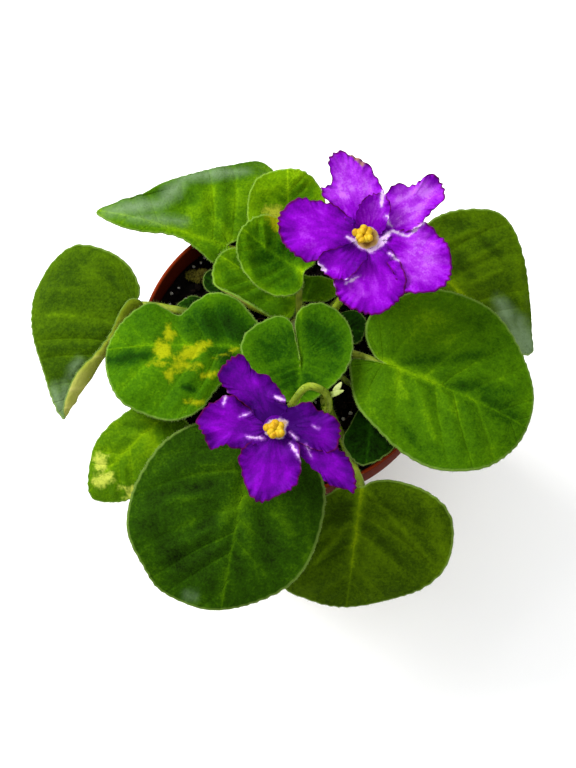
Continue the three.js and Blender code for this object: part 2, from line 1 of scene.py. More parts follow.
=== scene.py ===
# %% [markdown]
# # A potted African violet
# The real thing is a low rosette of fuzzy leaves in a thin plastic nursery pot, with two ruffled
# violet blooms above it. The construction model already holds each piece at its real size, so this
# lesson loads it as a fixed frame and makes finer pieces over it, in metres, in the same place.

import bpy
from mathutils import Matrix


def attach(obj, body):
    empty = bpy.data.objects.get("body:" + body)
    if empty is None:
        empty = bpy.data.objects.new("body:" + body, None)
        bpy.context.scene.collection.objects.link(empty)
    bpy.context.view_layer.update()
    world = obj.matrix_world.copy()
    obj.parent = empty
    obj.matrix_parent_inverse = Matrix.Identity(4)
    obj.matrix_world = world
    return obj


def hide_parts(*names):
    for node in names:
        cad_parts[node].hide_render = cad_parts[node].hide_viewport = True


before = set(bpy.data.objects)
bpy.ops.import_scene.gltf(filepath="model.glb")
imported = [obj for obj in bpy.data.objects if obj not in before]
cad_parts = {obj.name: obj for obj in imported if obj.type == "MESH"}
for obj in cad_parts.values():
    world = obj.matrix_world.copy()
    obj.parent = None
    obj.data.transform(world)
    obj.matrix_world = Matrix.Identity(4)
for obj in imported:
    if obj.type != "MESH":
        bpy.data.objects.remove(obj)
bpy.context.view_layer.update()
print("pieces in the frame:", len(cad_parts))

# %% Tools used all through
import math
from functools import partial

import bpy
import numpy as np
from mathutils import Matrix, Vector
from mathutils.noise import turbulence

MM = 0.001
DRAW = np.random.default_rng(7)


def in_scene(name, data):
    """An object that shows the data, linked into the scene."""
    thing = bpy.data.objects.new(name, data)
    bpy.context.scene.collection.objects.link(thing)
    return thing


def aim(thing, place, way):
    """Puts a camera or lamp at a place, looking along a way."""
    thing.location = place
    thing.rotation_mode = "QUATERNION"
    thing.rotation_quaternion = way.to_track_quat("-Z", "Y")


# %% [markdown]
# ## The camera
# The photograph looks steeply down on the plant, 20 degrees off the vertical. A long lens from
# 0.62 m away gives its mild perspective: its field is set so that 1 mm at the pot's rim covers
# 3.38 pixels of a picture 768 pixels high.

# %% Camera
LOOK_AT = Vector((-0.5, -11.8, 75.0)) * MM
DISTANCE = 620 * MM
OFF_VERTICAL = math.radians(20)
PIXELS_PER_MM = 3.38
PICTURE_HEIGHT = 768
SENSOR = 36

backward = Vector((0, -math.sin(OFF_VERTICAL), math.cos(OFF_VERTICAL)))
lens_data = bpy.data.cameras.new("camera")
lens_data.sensor_width = SENSOR
lens_data.lens = PIXELS_PER_MM * DISTANCE / MM / PICTURE_HEIGHT * SENSOR
lens_data.clip_start = 0.01
camera = in_scene("camera", lens_data)
aim(camera, LOOK_AT + backward * DISTANCE, -backward)
bpy.context.scene.camera = camera
print("lens:", round(lens_data.lens, 1), "mm")

# %% [markdown]
# ## Light
# The plant was lit evenly on white. Many lamps could do that, but a bright overcast world does most
# of it with fewer hard edges. One large soft lamp from the upper left then gives the leaves their
# relief, and a weaker one fills from the right. The ground is lit a little past white, so that the
# shadow on it stays as faint as in the photo.

# %% World and lamps
def srgb(code):
    """A hex colour as Blender's linear RGBA."""
    parts = [int(code[k:k + 2], 16) / 255 for k in (1, 3, 5)]
    return [c / 12.92 if c <= 0.04045 else ((c + 0.055) / 1.055) ** 2.4 for c in parts] + [1.0]


def lamp(name, place, size, power):
    """A square area lamp that looks at the middle of the plant."""
    data = bpy.data.lights.new(name, "AREA")
    data.size = size
    data.energy = power
    aim(in_scene(name, data), place, LOOK_AT - Vector(place))


lamp("key_lamp", place=(-0.6, 0.35, 0.75), size=0.5, power=17.0)
lamp("fill_lamp", place=(0.5, -0.3, 1.1), size=1.0, power=6.0)

sky = bpy.data.worlds.new("overcast")
sky.use_nodes = True
overcast = sky.node_tree.nodes["Background"]
overcast.inputs["Color"].default_value = srgb("#f8f9fb")
overcast.inputs["Strength"].default_value = 0.75
bpy.context.scene.world = sky
bpy.context.scene.view_settings.view_transform = "Standard"
print("sky strength:", overcast.inputs["Strength"].default_value)

# %% [markdown]
# ## Building materials
# A material is a small graph: patterns in, colour and relief out. It could be wired by hand in the
# editor. Here one function adds a node with its settings and links, so each material reads as a list
# of what its surface has. Patterns are sized by 1 / (millimetres * MM), because a texture's scale
# counts repeats to the metre.

# %% One way to add a node
SMOOTH = {"interpolation_type": "SMOOTHSTEP"}


def node(tree, kind, *inputs, out=0, stops=(), **settings):
    """Adds a node with its settings and gives one of its outputs.

    The inputs fill the sockets in use, in order: a socket is linked, a number or colour is set, and
    None leaves its socket alone. Stops are the (place, hex colour) pairs of a colour ramp.
    """
    made = tree.nodes.new("ShaderNode" + kind)
    for name, value in settings.items():
        setattr(made, name, value)
    for socket, value in zip([s for s in made.inputs if s.enabled], inputs):
        if isinstance(value, bpy.types.NodeSocket):
            tree.links.new(value, socket)
        elif value is not None:
            socket.default_value = value
    if stops:
        bar = made.color_ramp.elements
        bar.remove(bar[1])
        bar[0].position, bar[0].color = stops[0][0], srgb(stops[0][1])
        for place, code in stops[1:]:
            bar.new(place).color = srgb(code)
    return [s for s in made.outputs if s.enabled][out]


def start_material(name, surface):
    """A new material and node() for its tree; the shader's numbers are set by their sockets' names."""
    material = bpy.data.materials.new(name)
    material.use_nodes = True
    shader = material.node_tree.nodes["Principled BSDF"]
    for socket, value in surface.items():
        shader.inputs[socket].default_value = value
    return material, partial(node, material.node_tree)


def end_material(material, colour, height, depth):
    """Links the colour, and a relief whose height 1 stands depth mm out, to the shader."""
    tree = material.node_tree
    shader = tree.nodes["Principled BSDF"]
    tree.links.new(colour, shader.inputs["Base Color"])
    tree.links.new(node(tree, "Bump", 1.0, depth * MM, None, height), shader.inputs["Normal"])
    return material


# %% Steps that materials share
def overlay(add, colour, over, mark, low, high, strength):
    """Lays a colour over another, softly from where the mark is low to where it is high."""
    share = add("MapRange", mark, low, high, 0.0, strength, **SMOOTH)
    return add("Mix", share, colour, over, data_type="RGBA")


def speckled(name, surface, stops, blotch, grain, depth, own_tone=0.5, detail=3.0):
    """A material whose colour runs with blotches and the mesh's own tone, under a fine grain.

    Blotches and grain are so many mm wide, and the grain stands depth mm out.
    """
    material, add = start_material(name, surface)
    space = add("TexCoord", out=3)
    tone = add("Attribute", out=2, attribute_name="tone")
    blotches = add("TexNoise", space, 1 / (blotch * MM), detail)
    tone = add("Math", tone, own_tone, blotches, operation="MULTIPLY_ADD")
    colour = add("ValToRGB", tone, stops=stops)
    return end_material(material, colour, add("TexNoise", space, 1 / (grain * MM)), depth)


# %% [markdown]
# ## How a blade is drawn
# A leaf or petal starts as a few outline points in its own plane: u along the midrib, v to the
# left. A smooth closed curve goes through them, and even steps along it give the margin. Rings that
# shrink from the margin to the middle then carry the form: the blade's bowl, ripples and folds.
# It could be sculpted by hand, but the construction model's formulas, at a much finer step, keep
# each sheet exactly in its place.

# %% Smooth curves
def circle(count):
    """Even steps round a circle, as angles."""
    return 2 * np.pi * np.arange(count) / count


def unit(vectors):
    """Vectors of length 1."""
    return vectors / np.linalg.norm(vectors, axis=-1, keepdims=True)


def run_length(curve):
    """How far along a curve each of its points lies."""
    return np.append(0, np.cumsum(np.linalg.norm(np.diff(curve, axis=0), axis=1)))


def at_lengths(curve, length, wanted):
    """The points of a curve at the wanted lengths along it."""
    return np.stack([np.interp(wanted, length, axis) for axis in curve.T], 1)


def smooth_loop(points, count, fine=1200):
    """Evenly spaced points on the closed smooth curve through the given ones, and its length in mm."""
    p = np.array(points, float)
    t = np.arange(fine) / fine * len(p)
    k = t.astype(int)
    f = (t - k)[:, None]
    a, b, c, d = (p[(k + step) % len(p)] for step in (-1, 0, 1, 2))
    curve = b + 0.5 * f * (c - a + f * (2 * a - 5 * b + 4 * c - d + f * (3 * (b - c) + d - a)))
    closed = np.vstack([curve, curve[:1]])
    length = run_length(closed)
    return at_lengths(closed, length, np.arange(count) / count * length[-1]), length[-1]


def smooth_path(points, count, fine=40):
    """Evenly spaced points on an open smooth curve that keeps tight bends round."""
    p = [np.array(q, float) for q in points]
    p = [2 * p[0] - p[1]] + p + [2 * p[-1] - p[-2]]
    f = np.linspace(0, 1, fine, endpoint=False)[:, None]
    runs = []
    for a, b, c, d in zip(p, p[1:], p[2:], p[3:]):
        ka, kb, kc = (math.sqrt(np.linalg.norm(y - x)) for x, y in ((a, b), (b, c), (c, d)))
        start = ((b - a) / ka - (c - a) / (ka + kb) + (c - b) / kb) * kb
        end = ((c - b) / kb - (d - b) / (kb + kc) + (d - c) / kc) * kb
        cubic = 2 * (b - c) + start + end
        square = 3 * (c - b) - 2 * start - end
        runs.append(b + f * (start + f * (square + f * cubic)))
    curve = np.vstack(runs + [p[-2][None]])
    length = run_length(curve)
    return at_lengths(curve, length, np.linspace(0, length[-1], count))


def smoothstep(x, low, high):
    """0 below low, 1 above high and a smooth rise between."""
    t = np.clip((x - low) / (high - low), 0, 1)
    return t * t * (3 - 2 * t)


# %% Margins and rings
TEETH_START, TEETH_FULL = 2, 7


def margin(outline, count, tooth_length, tooth_height):
    """A sheet's edge with small round teeth that fade out towards the joint, its way out, their number."""
    edge, perimeter = smooth_loop(outline, count)
    teeth = round(perimeter / tooth_length)
    along = unit(np.roll(edge, -1, 0) - np.roll(edge, 1, 0))
    outward = np.stack([along[:, 1], -along[:, 0]], 1)
    turn = circle(count)
    uneven = 0.6 + 0.4 * np.sin(5 * turn + 1)
    wave = np.cos(teeth * turn + 3 * np.sin(2 * turn) + 1.5 * np.sin(7 * turn)) * uneven
    size = tooth_height * wave * smoothstep(np.linalg.norm(edge, axis=1), TEETH_START, TEETH_FULL)
    return edge + outward * size[:, None], outward, teeth


def middle_of(sheet):
    """Where a sheet's rings shrink to: the middle of its outline's box, unless it names another."""
    p = np.array(sheet["outline"], float)
    return np.array(sheet.get("middle", (p.min(0) + p.max(0)) / 2))


def shrinking_rings(edge, middle, shares):
    """Rings from the edge to the middle: the flat place, share and angle of each point."""
    uv = np.vstack([middle + share * (edge - middle) for share in shares] + [middle])
    share = np.append(np.repeat(shares, len(edge)), 0)
    return uv, share, np.append(np.tile(circle(len(edge)), len(shares)), 0)


def strip(first, second, around):
    """Four-sided faces between two rings, given the number of each ring's first point."""
    k = np.arange(around)
    after = (k + 1) % around
    return np.stack([first + k, second + k, second + after, first + after], 1)


def ring_faces(rings, around):
    """Faces between neighbouring rings, and a fan that closes the last."""
    quads = [strip(r * around, (r + 1) * around, around)[:, [0, 3, 2, 1]] for r in range(rings - 1)]
    k = (rings - 1) * around + np.arange(around)
    fan = np.stack([k, np.roll(k, -1), np.full(around, rings * around)], 1)
    return np.vstack(quads).tolist() + fan.tolist()


def flipped(faces, shift=0):
    """Faces that look the other way, their point numbers shifted."""
    return [[k + shift for k in face[::-1]] for face in faces]


def bend(p, toward, start, radius, turn):
    """Turns what lies beyond a line across the blade out of its plane, up or down."""
    ahead = np.array([math.cos(math.radians(toward)), math.sin(math.radians(toward))])
    past = p[:, :2] @ ahead - start
    way = math.copysign(1, turn)
    angle = np.clip(past / radius, 0, math.radians(abs(turn)))
    spare = past - angle * radius
    arm = radius - way * p[:, 2]
    reach = arm * np.sin(angle) + spare * np.cos(angle) - past
    lift = radius - arm * np.cos(angle) + spare * np.sin(angle)
    bent = np.column_stack([p[:, :2] + ahead * reach[:, None], way * lift])
    return np.where((past > 0)[:, None], bent, p)


def place(matrix, p):
    """Points moved by a matrix of rotation and translation."""
    return p @ matrix[:3, :3].T + matrix[:3, 3]


# %% [markdown]
# ## Gathering shells into one piece
# Each piece is one mesh made of closed shells: a blade, its petiole, its hairs. They could be joined
# objects, but lists of points are quicker to gather. Every point also carries a few numbers, such as
# how near it is to the rim or which side vein it lies by, and the materials read them to place
# markings exactly.

# %% The shell collector
MARKS = ("rim", "vein", "grown", "midrib", "along", "tone", "olive", "yellow", "silver", "pale",
         "brown", "fan", "reach")


class Shells:
    """Collects points, faces and marks in mm, then makes one Blender object of them."""

    def __init__(self):
        self.points, self.faces, self.skins, self.count = [], [], [], 0
        self.marks = {name: [] for name in MARKS}

    def add(self, points, faces, skin=0, **marks):
        """Adds a shell; its skin is one number or one for each face, a mark one or one for each point."""
        self.points.append(points)
        self.faces += [[k + self.count for k in face] for face in faces]
        self.skins += np.broadcast_to(skin, (len(faces),)).tolist()
        self.count += len(points)
        for name in MARKS:
            value = np.asarray(marks.get(name, 0.0), np.float32)
            self.marks[name].append(np.broadcast_to(value, (len(points),)))

    def mesh(self, name):
        """The shells as one mesh, in metres."""
        mesh = bpy.data.meshes.new(name)
        mesh.from_pydata((np.vstack(self.points) * MM).tolist(), [], self.faces)
        return mesh

    def finish(self, name, materials, replaced):
        """The piece in the scene, riding with the plant."""
        mesh = self.mesh(name)
        for material in materials:
            mesh.materials.append(material)
        mesh.polygons.foreach_set("material_index", self.skins)
        mesh.polygons.foreach_set("use_smooth", [True] * len(mesh.polygons))
        for mark, values in self.marks.items():
            joined = np.concatenate(values).astype(np.float32)
            if joined.any():
                mesh.attributes.new(mark, "FLOAT", "POINT").data.foreach_set("value", joined)
        mesh.update()
        piece = in_scene(name, mesh)
        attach(piece, "root")
        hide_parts(*replaced)
        print(name, "faces:", len(self.faces))
        return piece


# %% Round bodies
def closed_body(rings, end, start):
    """Points and faces of a row of rings, closed by a point past the last and one before the first."""
    around = len(rings[0])
    points = np.vstack(rings + [[end], [start]])
    k = np.arange(around)
    first = np.stack([np.roll(k, -1), k, np.full(around, len(points) - 1)], 1)
    return points, ring_faces(len(rings), around) + first.tolist()


def tube(path, radii, sides=10):
    """A round tube with closed ends, its section carried along the path."""
    ways = unit(np.gradient(path, axis=0))
    side = np.cross(ways[0], (0.3, 0.2, 1.0))
    spin = circle(sides)[:, None]
    rings = []
    for centre, way, radius in zip(path, ways, np.broadcast_to(radii, (len(path),))):
        side = unit(side - way * (side @ way))
        rings.append(centre + radius * (np.cos(spin) * side + np.sin(spin) * np.cross(way, side)))
    return closed_body(rings, path[-1], path[0])


def turned(profile, sides):
    """A closed turned body from (radius, height) pairs that start and end on its axis."""
    spin = circle(sides)
    rings = [np.column_stack([r * np.cos(spin), r * np.sin(spin), np.full(sides, z)])
             for r, z in profile[1:-1]]
    return closed_body(rings, (0, 0, profile[-1][1]), (0, 0, profile[0][1]))


def ball(columns=24, rows=14):
    """A ball of radius 1."""
    down = np.pi * np.arange(1, rows) / rows
    return turned([(0, -1), *zip(np.sin(down), -np.cos(down)), (0, 1)], columns)


# %% Hairs
HAIR_WIDTH, HAIR_ROOT = 0.09, 0.1


def spikes(roots, ways, lengths, width):
    """Thin closed three-sided hairs, each from its root along its own way."""
    side = unit(np.cross(ways, (0.31, 0.47, 0.83)))
    across = np.cross(ways, side)
    corners = [roots + width / 2 * (math.cos(a) * side + math.sin(a) * across) for a in circle(3)]
    points = np.stack(corners + [roots + ways * lengths[:, None]], 1).reshape(-1, 3)
    base = 4 * np.arange(len(roots))[:, None]
    faces = np.vstack([base + face for face in ((0, 1, 3), (1, 2, 3), (2, 0, 3), (0, 2, 1))])
    return points, faces.tolist()


def scatter(points, faces, density):
    """Random places on four-sided faces, so many to a square mm, each with its way out and a corner."""
    quads = np.array([f for f in faces if len(f) == 4])
    a, b, c, d = (points[quads[:, k]] for k in range(4))
    normal = np.cross(c - a, d - b)
    area = np.linalg.norm(normal, axis=1) / 2
    chosen = DRAW.choice(len(quads), int(density * area.sum()), p=area / area.sum())
    s, t = DRAW.random((2, len(chosen), 1))
    spot = (1 - s) * ((1 - t) * a[chosen] + t * d[chosen]) + s * ((1 - t) * b[chosen] + t * c[chosen])
    return spot, normal[chosen] / (2 * area[chosen, None]), quads[chosen, 0]


def add_hairs(shells, points, faces, density, length, skin, lean=0.45, tone=0.0, **marks):
    """A coat of short hairs, each leaning its own way and as bright as the skin at its root."""
    spot, out, corner = scatter(points, faces, density)
    way = unit(out + lean * DRAW.normal(size=spot.shape))
    size = length * (0.6 + 0.6 * DRAW.random(len(spot)))
    hair_tone = np.repeat(np.broadcast_to(tone, (len(points),))[corner], 4)
    shells.add(*spikes(spot - HAIR_ROOT * out, way, size, HAIR_WIDTH), skin, tone=hair_tone, **marks)


# %% [markdown]
# ## The leaves, by their outlines
# African violet leaves are round to heart-shaped, thick and quilted. One leaf copied about would be
# less work, but here each differs, so each has an entry, in mm and degrees. It tells where the blade
# meets its stalk, which way the midrib points and rises, how the sheet bowls (cup), ripples (wave)
# and folds (bends), its outline, and how bright (tone) and how brown (olive) its green is.

# %% Leaf table
# A stalk starts at a height on the crown (root), arches by its rise or goes via given points, falls
# into line a lead before the joint and meets the blade a seat inside it; petiole is its radius.
# A wave is its height, count and phase. A bend is its direction across the blade, how far out it
# starts, its radius and its angle. Sheen, yellow, light and dark marks are (x, y, x2, y2, reach) on
# the plant. Sheen, light and dark are painted: a silvery sheen where the blade curves away, light
# where it swells and shade in its creases. Rim and contrast scale how much lighter the margin, a
# painted highlight, and those marks are.
PLAIN_LEAF = dict(petiole=1.45, seat=1.5, lead=8, rise=0, olive=0, rim=0.05, contrast=1, bends=(),
                  silver=(), yellow=(), light=(), dark=())
LEAVES = {
    "left": dict(
        at=(-46, 12, 78), heading=-124, pitch=-8, cup=-1, wave=(0.4, 5, 1), root=74, rise=1.5, lead=2,
        tone=0.32, olive=0.6, contrast=0.6,
        outline=[(2, 0), (-3.5, -1), (-6.8, -4.4), (-9.3, -10), (-9.3, -17.5), (-6, -27), (1, -30.8),
            (8, -30.7), (15, -28.3), (24, -21), (32, -11), (37, -4.5), (40, 1.5), (38.5, 6.3), (33, 8.7),
            (26.5, 9.6), (19, 8.2), (12, 8), (5, 9.5), (0, 9), (-1, 5)],
        bends=[(90, 0, 2.6, 150), (-90, 14, 30, -20)],
        silver=[(-70, -13, -67, -20.5, 2.4), (-66.5, -12, -66.3, -18, 1.5), (-65, -9.5, -62.5, -5, 0.8)],
        light=[(-73, 18, -61, 16.5, 1), (-72, 9.5, -64, 8.5, 1)],
        dark=[(-57, 26, -51.5, 16.5, 1.5), (-66, 24, -58, 30, 3)]),
    "upper_left": dict(
        at=(-17, 30, 80), heading=162, pitch=2, cup=0, wave=(0.4, 4, 0), root=75, rise=1, lead=5,
        tone=0.46, olive=0.15,
        outline=[(2, 0), (-4, -6), (-8, -17), (-8, -27), (-3, -34), (3, -37), (9.5, -29.5), (19, -20.3),
            (27, -13), (31.5, -7.7), (37, -3.8), (44.3, 0.3), (36, 3.5), (28, 3.7), (21, 2.3), (15, 2.2),
            (9, 4.2), (3.5, 6.3), (-2, 3)],
        bends=[(-90, 14, 20, -40), (90, 1, 8, -20), (0, 26, 34, -20)],
        silver=[(-55, 42.5, -39, 43.5, 2.5), (-39, 43.5, -32, 52.5, 2.5), (-32, 52.5, -13.5, 57, 2.5),
            (-48, 39.5, -31.5, 38, 1)],
        light=[(-23, 39, -15.5, 30, 1.5), (-28.5, 41.5, -22.5, 49, 3), (-16.5, 44, -9.5, 54, 3.5)],
        dark=[(-42.5, 47.5, -38, 48.5, 2.5), (-33, 45, -29.5, 44.5, 2.5)]),
    "mottled": dict(
        at=(-9, -5, 88.6), heading=-180, pitch=-1, cup=-1, wave=(1, 5, 2.2), root=75, rise=1, lead=2.5,
        tone=0.44, contrast=2.5,
        outline=[(2, 0), (0, -6), (3, -11), (7, -15), (13.5, -16.3), (19, -13.5), (23.3, -10),
            (27.5, -12), (32, -13.5), (38, -9.5), (42.3, -5), (44.8, 0.5), (44, 8), (39.7, 16.5),
            (32, 20.7), (24, 22.7), (17, 20), (13, 14), (10, 10.5), (4, 8), (0.5, 4)],
        bends=[(0, 30, 60, -10)],
        yellow=[(-38, -5, -35, -8.5, 3.5), (-35.5, 1, -34.5, -4.5, 1.5), (-33, -9.5, -23.5, -4.5, 2.5),
            (-40.5, -11, -25.5, -11.5, 1.5), (-34.5, -11.5, -34.5, -16, 1.5),
            (-25, -14.5, -22, -13.5, 1.5), (-30, -22.5, -24.5, -23, 1), (-22, -9, -13.5, -5.5, 0.5)],
        dark=[(-53.5, -8.4, -40.5, -8, 2.6), (-27.5, 3, -12, -0.5, 6.5), (-21.5, -6, -15.5, -11, 3.5),
            (-30.5, -18, -27.5, -19, 1)]),
    "top": dict(
        at=(0, 28, 90), heading=92, pitch=18, cup=1.5, wave=(0.6, 5, 0), root=71,
        via=[(1.5, 14, 72.5), (0.5, 23, 79)], tone=0.55, olive=0.1, rim=0.1,
        outline=[(1, 0), (-2, -6), (2, -10), (9, -11), (16, -9), (20, -5), (21, 0), (20, 6), (17, 10),
            (10, 12), (3, 11), (-2, 6)],
        yellow=[(-6.5, 37, -1.5, 34, 2.5)],
        light=[(-8, 42, 3, 46.5, 2.5)],
        dark=[(0, 38.5, 6, 42, 3)]),
    "crown_left": dict(
        at=(5, 16, 93), heading=147, pitch=13, cup=2.5, wave=(0.3, 6, 0), root=80, lead=0.5,
        seat=3, petiole=1.2, tone=0.38, rim=0.21,
        outline=[(1, 0), (0, -4), (4, -7), (10, -9), (16, -9), (21, -6), (23, 0), (21, 6), (16, 10),
            (10, 12), (4, 11), (0, 8), (-1, 4)],
        yellow=[(-6.4, 34, -2.8, 28.4, 2.4)],
        light=[(2.5, 19, 4, 12.5, 1.5), (-13, 26.5, -11.5, 16, 1.5), (-8, 30, -7, 23, 1)],
        dark=[(-8, 19, 0, 22.5, 4.5)]),
    "crown_back": dict(
        at=(4, 11.4, 80.8), heading=150, pitch=5, cup=1, wave=(0.2, 6, 0), root=77, lead=2,
        petiole=1.2, tone=0.4, olive=0.1, rim=0.17,
        outline=[(1, 0), (-5, -4), (-7, -9), (-3, -11), (4, -8), (12, -6), (21, -6), (27, -4), (29, 1),
            (27, 7), (21, 12), (13, 14), (6, 12), (1, 6)],
        bends=[(90, 6, 4, 90)],
        light=[(-19.5, 24.5, -9, 15.5, 1.5)]),
    "heart": dict(
        at=(3, -10, 93), heading=-91, pitch=3, cup=1.5, wave=(0.3, 4, 0), root=79, petiole=1.2,
        middle=(5, 0.8), via=[(3, -3.5, 80.5), (3, -9, 85)], tone=0.33, rim=0.13,
        outline=[(1, 0), (-6, -1.7), (-10.5, -2.9), (-12.6, -5.5), (-12, -9), (-8, -15), (-2, -17),
            (4, -14), (10, -9), (15, 0), (10, 8), (4, 13), (-3, 15), (-10, 14), (-15, 10), (-17, 5),
            (-15, 0), (-11, -1.4), (-6, -1)],
        dark=[(-8, -6.5, -0.5, -10, 4), (6.5, 0, 13.5, -6.5, 3.5), (-2, -14.5, 6, -18, 3.5)]),
    "right_back": dict(
        at=(40, 24, 82), heading=-39, pitch=-7, cup=0, wave=(0.5, 5, 0), root=73.5, rise=4, tone=0.31,
        olive=0.7,
        outline=[(2, 0), (-2, -5), (5, -10), (15, -14), (26, -12), (35, -6), (43, 1.5), (38.5, 5.5),
            (33, 11.5), (27, 17), (21, 21.7), (14, 26.3), (8, 27.8), (3, 25.5), (-3.5, 18.5), (-6.7, 11),
            (-5, 4)],
        bends=[(20, 26, 18, -45), (-90, 3, 9, 45)],
        silver=[(62.5, 12.5, 66, 5.5, 3), (66.5, 5, 70, -2, 4.5), (68.5, 6, 71.5, -3, 5)],
        light=[(47, 30.5, 58, 35.5, 1), (52, 24, 62.5, 30, 1), (54, 18, 63.5, 22.5, 1),
            (46.5, 19, 53.5, 13, 3), (68.5, 25.5, 70, 6.5, 2.5)],
        dark=[(47, 37, 54.5, 37, 2.5), (50, 26.5, 54, 20.5, 2.5), (58, 32, 63.5, 27, 1.5)]),
    "right": dict(
        at=(27, -10, 88), heading=-24.5, pitch=0, cup=-1, wave=(0.8, 6, 1), root=72.5, tone=0.4,
        olive=0.15,
        outline=[(1, 0), (-5.5, -1.8), (-9, -3.2), (-7, -7), (-4, -12), (0, -16), (7, -19.5),
            (15, -22.3), (26, -23.3), (35, -20), (41.4, -14), (45.7, -4.2), (44.5, 7), (39.5, 16),
            (31, 23.5), (21, 28.3), (9.5, 29), (1, 25.5), (-6, 17.5), (-9.3, 11.5), (-7.5, 5.5),
            (-2.5, 0.8)],
        bends=[(0, 26, 60, -20)],
        light=[(43, -5.5, 52, 0, 3), (33, 4, 49.5, 1.5, 4.5), (30.5, -13, 34, -21.5, 1.5),
            (35.5, -14.5, 41.5, -34, 1.5), (43.5, -19.5, 48, -27, 2), (27, -9.5, 43.5, -17, 1.5)],
        dark=[(33, -10.5, 58.5, -8, 2), (45.5, -17.5, 64, -19, 2), (57.5, -21.5, 67, -28, 3.5),
            (31.5, -28.5, 37.5, -36.5, 1.5)]),
    "front_left": dict(
        at=(-11, -36, 86), heading=-101, pitch=-10, cup=-1, wave=(0.9, 6, 0.5), root=72, rise=2,
        tone=0.19, olive=0.3, contrast=0.7,
        outline=[(2, 0), (-4, -4), (-7, -10), (-5, -17), (1, -24), (9, -28.5), (19, -31.3),
            (29.2, -30.3), (38, -24.3), (44.5, -18.5), (47, -9), (46.7, -1), (43.5, 8), (38, 15.8),
            (31, 21), (22, 23.3), (10, 23.3), (2, 20), (-4, 14), (-5, 6)],
        bends=[(0, 24, 50, -20)],
        silver=[(-29.5, -76, -27, -76.5, 0.2)],
        light=[(-31.5, -43, -15.5, -40, 2.5), (-20.5, -62, -15, -47.5, 2.5), (-34, -63.5, -23, -59, 1.5),
            (-13.5, -50.5, -11.5, -64, 2.5), (-3, -51.5, 0, -64, 2.5), (-19.5, -78, -19, -69, 1.5),
            (4.5, -51, 5.5, -64, 1.5), (-35.5, -51, -22, -49.5, 1)],
        dark=[(-40, -48.5, -21, -46, 1.5), (-28, -60, -20.5, -54, 1.5), (-8, -52.5, -6, -68.5, 2.5),
            (-15.5, -65.5, -14, -74.5, 2), (-39.5, -57, -31, -68.5, 3.5), (3, -42, 7, -49.5, 2.5)]),
    "front_right": dict(
        at=(21, -44, 79), heading=-98, pitch=-24, cup=-1, wave=(0.7, 5, 0), root=73,
        via=[(9, -13, 74), (15, -28, 75.6), (18.5, -38, 77.2)], tone=0.3, olive=0.8,
        outline=[(1, 0), (1, -5), (7, -12), (15, -17), (25, -19.5), (33.7, -18.2), (36.5, -11), (37, -4),
            (35.3, 5), (32, 14), (27.4, 21.4), (20.3, 26.9), (11, 27.8), (4, 25), (-0.5, 18), (-2, 9),
            (-1, 3)],
        bends=[(0, 20, 50, -20)],
        light=[(21, -42, 18, -65.5, 1.5), (22, -46, 40.5, -65, 1), (40, -49.5, 45, -65, 2.5),
            (17.5, -54.5, 7.5, -65, 1)],
        dark=[(24.5, -49.5, 32, -53.5, 2), (22.5, -56, 32, -65, 2), (11, -53.5, 16.5, -50.5, 2),
            (8.5, -65.5, 16, -60.5, 1.5)]),
    "lower_left": dict(
        at=(-35, -22, 80), heading=-140, pitch=-20, cup=-1, wave=(0.5, 5, 0), root=71, rise=1, lead=5,
        tone=0.46, olive=0.3,
        outline=[(1, 0), (0, -5), (4, -7.5), (9, -8.8), (17, -9.3), (25, -8), (32, -3.2), (35.4, 1.7),
            (32, 6.7), (25.5, 11), (16, 13), (6, 12), (-1, 8), (-1, 3)],
        bends=[(0, 18, 40, -20)],
        yellow=[(-56.5, -33.5, -54.5, -36.5, 2.6), (-57, -40, -52.5, -39.5, 2.6),
            (-47, -45, -44, -44.5, 2.5), (-49.5, -43, -48.5, -43, 1)],
        light=[(-41, -29.5, -36.5, -39, 2.5)],
        dark=[(-48.5, -25, -44, -26.5, 1.5)]),
    # The four inner leaves lie deep in the rosette; their tone of 0.07, near black, is painted shade, and
    # their stalks and hairs take it too.
    "inner_front": dict(
        at=(24.2, -21, 79.5), heading=-97, pitch=0, cup=0.8, wave=(0.3, 4, 0), root=70, lead=3,
        petiole=1, tone=0.07,
        outline=[(1, 0), (0, -3), (5, -5.5), (10.5, -7.3), (14, -5.9), (17.4, -2), (16.8, 1.2),
            (14.9, 4.2), (10, 7.8), (5, 6.5), (1, 4)]),
    "inner_left": dict(
        at=(-24, 10, 70.5), heading=150, pitch=0, cup=0.4, wave=(0.2, 4, 0), root=70, lead=3,
        petiole=1, tone=0.07,
        outline=[(1, 0), (0, -4), (5, -5), (9, -4), (11, 0), (10, 4), (6, 5), (1, 4)]),
    "inner_back": dict(
        at=(-15, 18, 74), heading=155, pitch=-2, cup=0.4, wave=(0.2, 4, 0), root=72, lead=3,
        petiole=1, tone=0.07,
        outline=[(1, 0), (0, -4), (5, -6), (9, -5), (12, -1), (10, 3), (5, 4), (1, 3)]),
    "inner_right": dict(
        at=(13, 6, 77), heading=-19, pitch=15, cup=0.6, wave=(0.2, 4, 0), root=70, lead=2,
        petiole=1, tone=0.07,
        outline=[(1, 0), (1, -4), (5, -5), (9, -4), (10, 0), (9, 4), (5, 6), (1, 4)]),
}
LEAVES = {name: PLAIN_LEAF | leaf for name, leaf in LEAVES.items()}
print("leaves:", len(LEAVES))

# %% [markdown]
# ## The form of a leaf
# The tissue between the side veins swells up, so light breaks on a leaf as on a quilt. A bump map
# could fake that, but real relief also shows where a leaf is seen from the side. Each point knows
# its phase between two side veins, which leave the midrib at a slant and curve towards the tip.
# Veins are never spaced evenly, so a slow wave shifts them.

# %% Points on a leaf
RIM_HALF, MIDDLE_HALF = 0.3, 0.65
VEIN_GAP = 0.17
VEIN_START, VEIN_END, VEIN_CURVE = 0.05, 1.2, 0.35
VEIN_SHIFT = 0.22
QUILT_HEIGHT, FULL_QUILT = 0.6, 40
GROOVE_DEPTH, GROOVE_WIDTH = 0.45, 1.3
CREASE_HEIGHT = 0.35


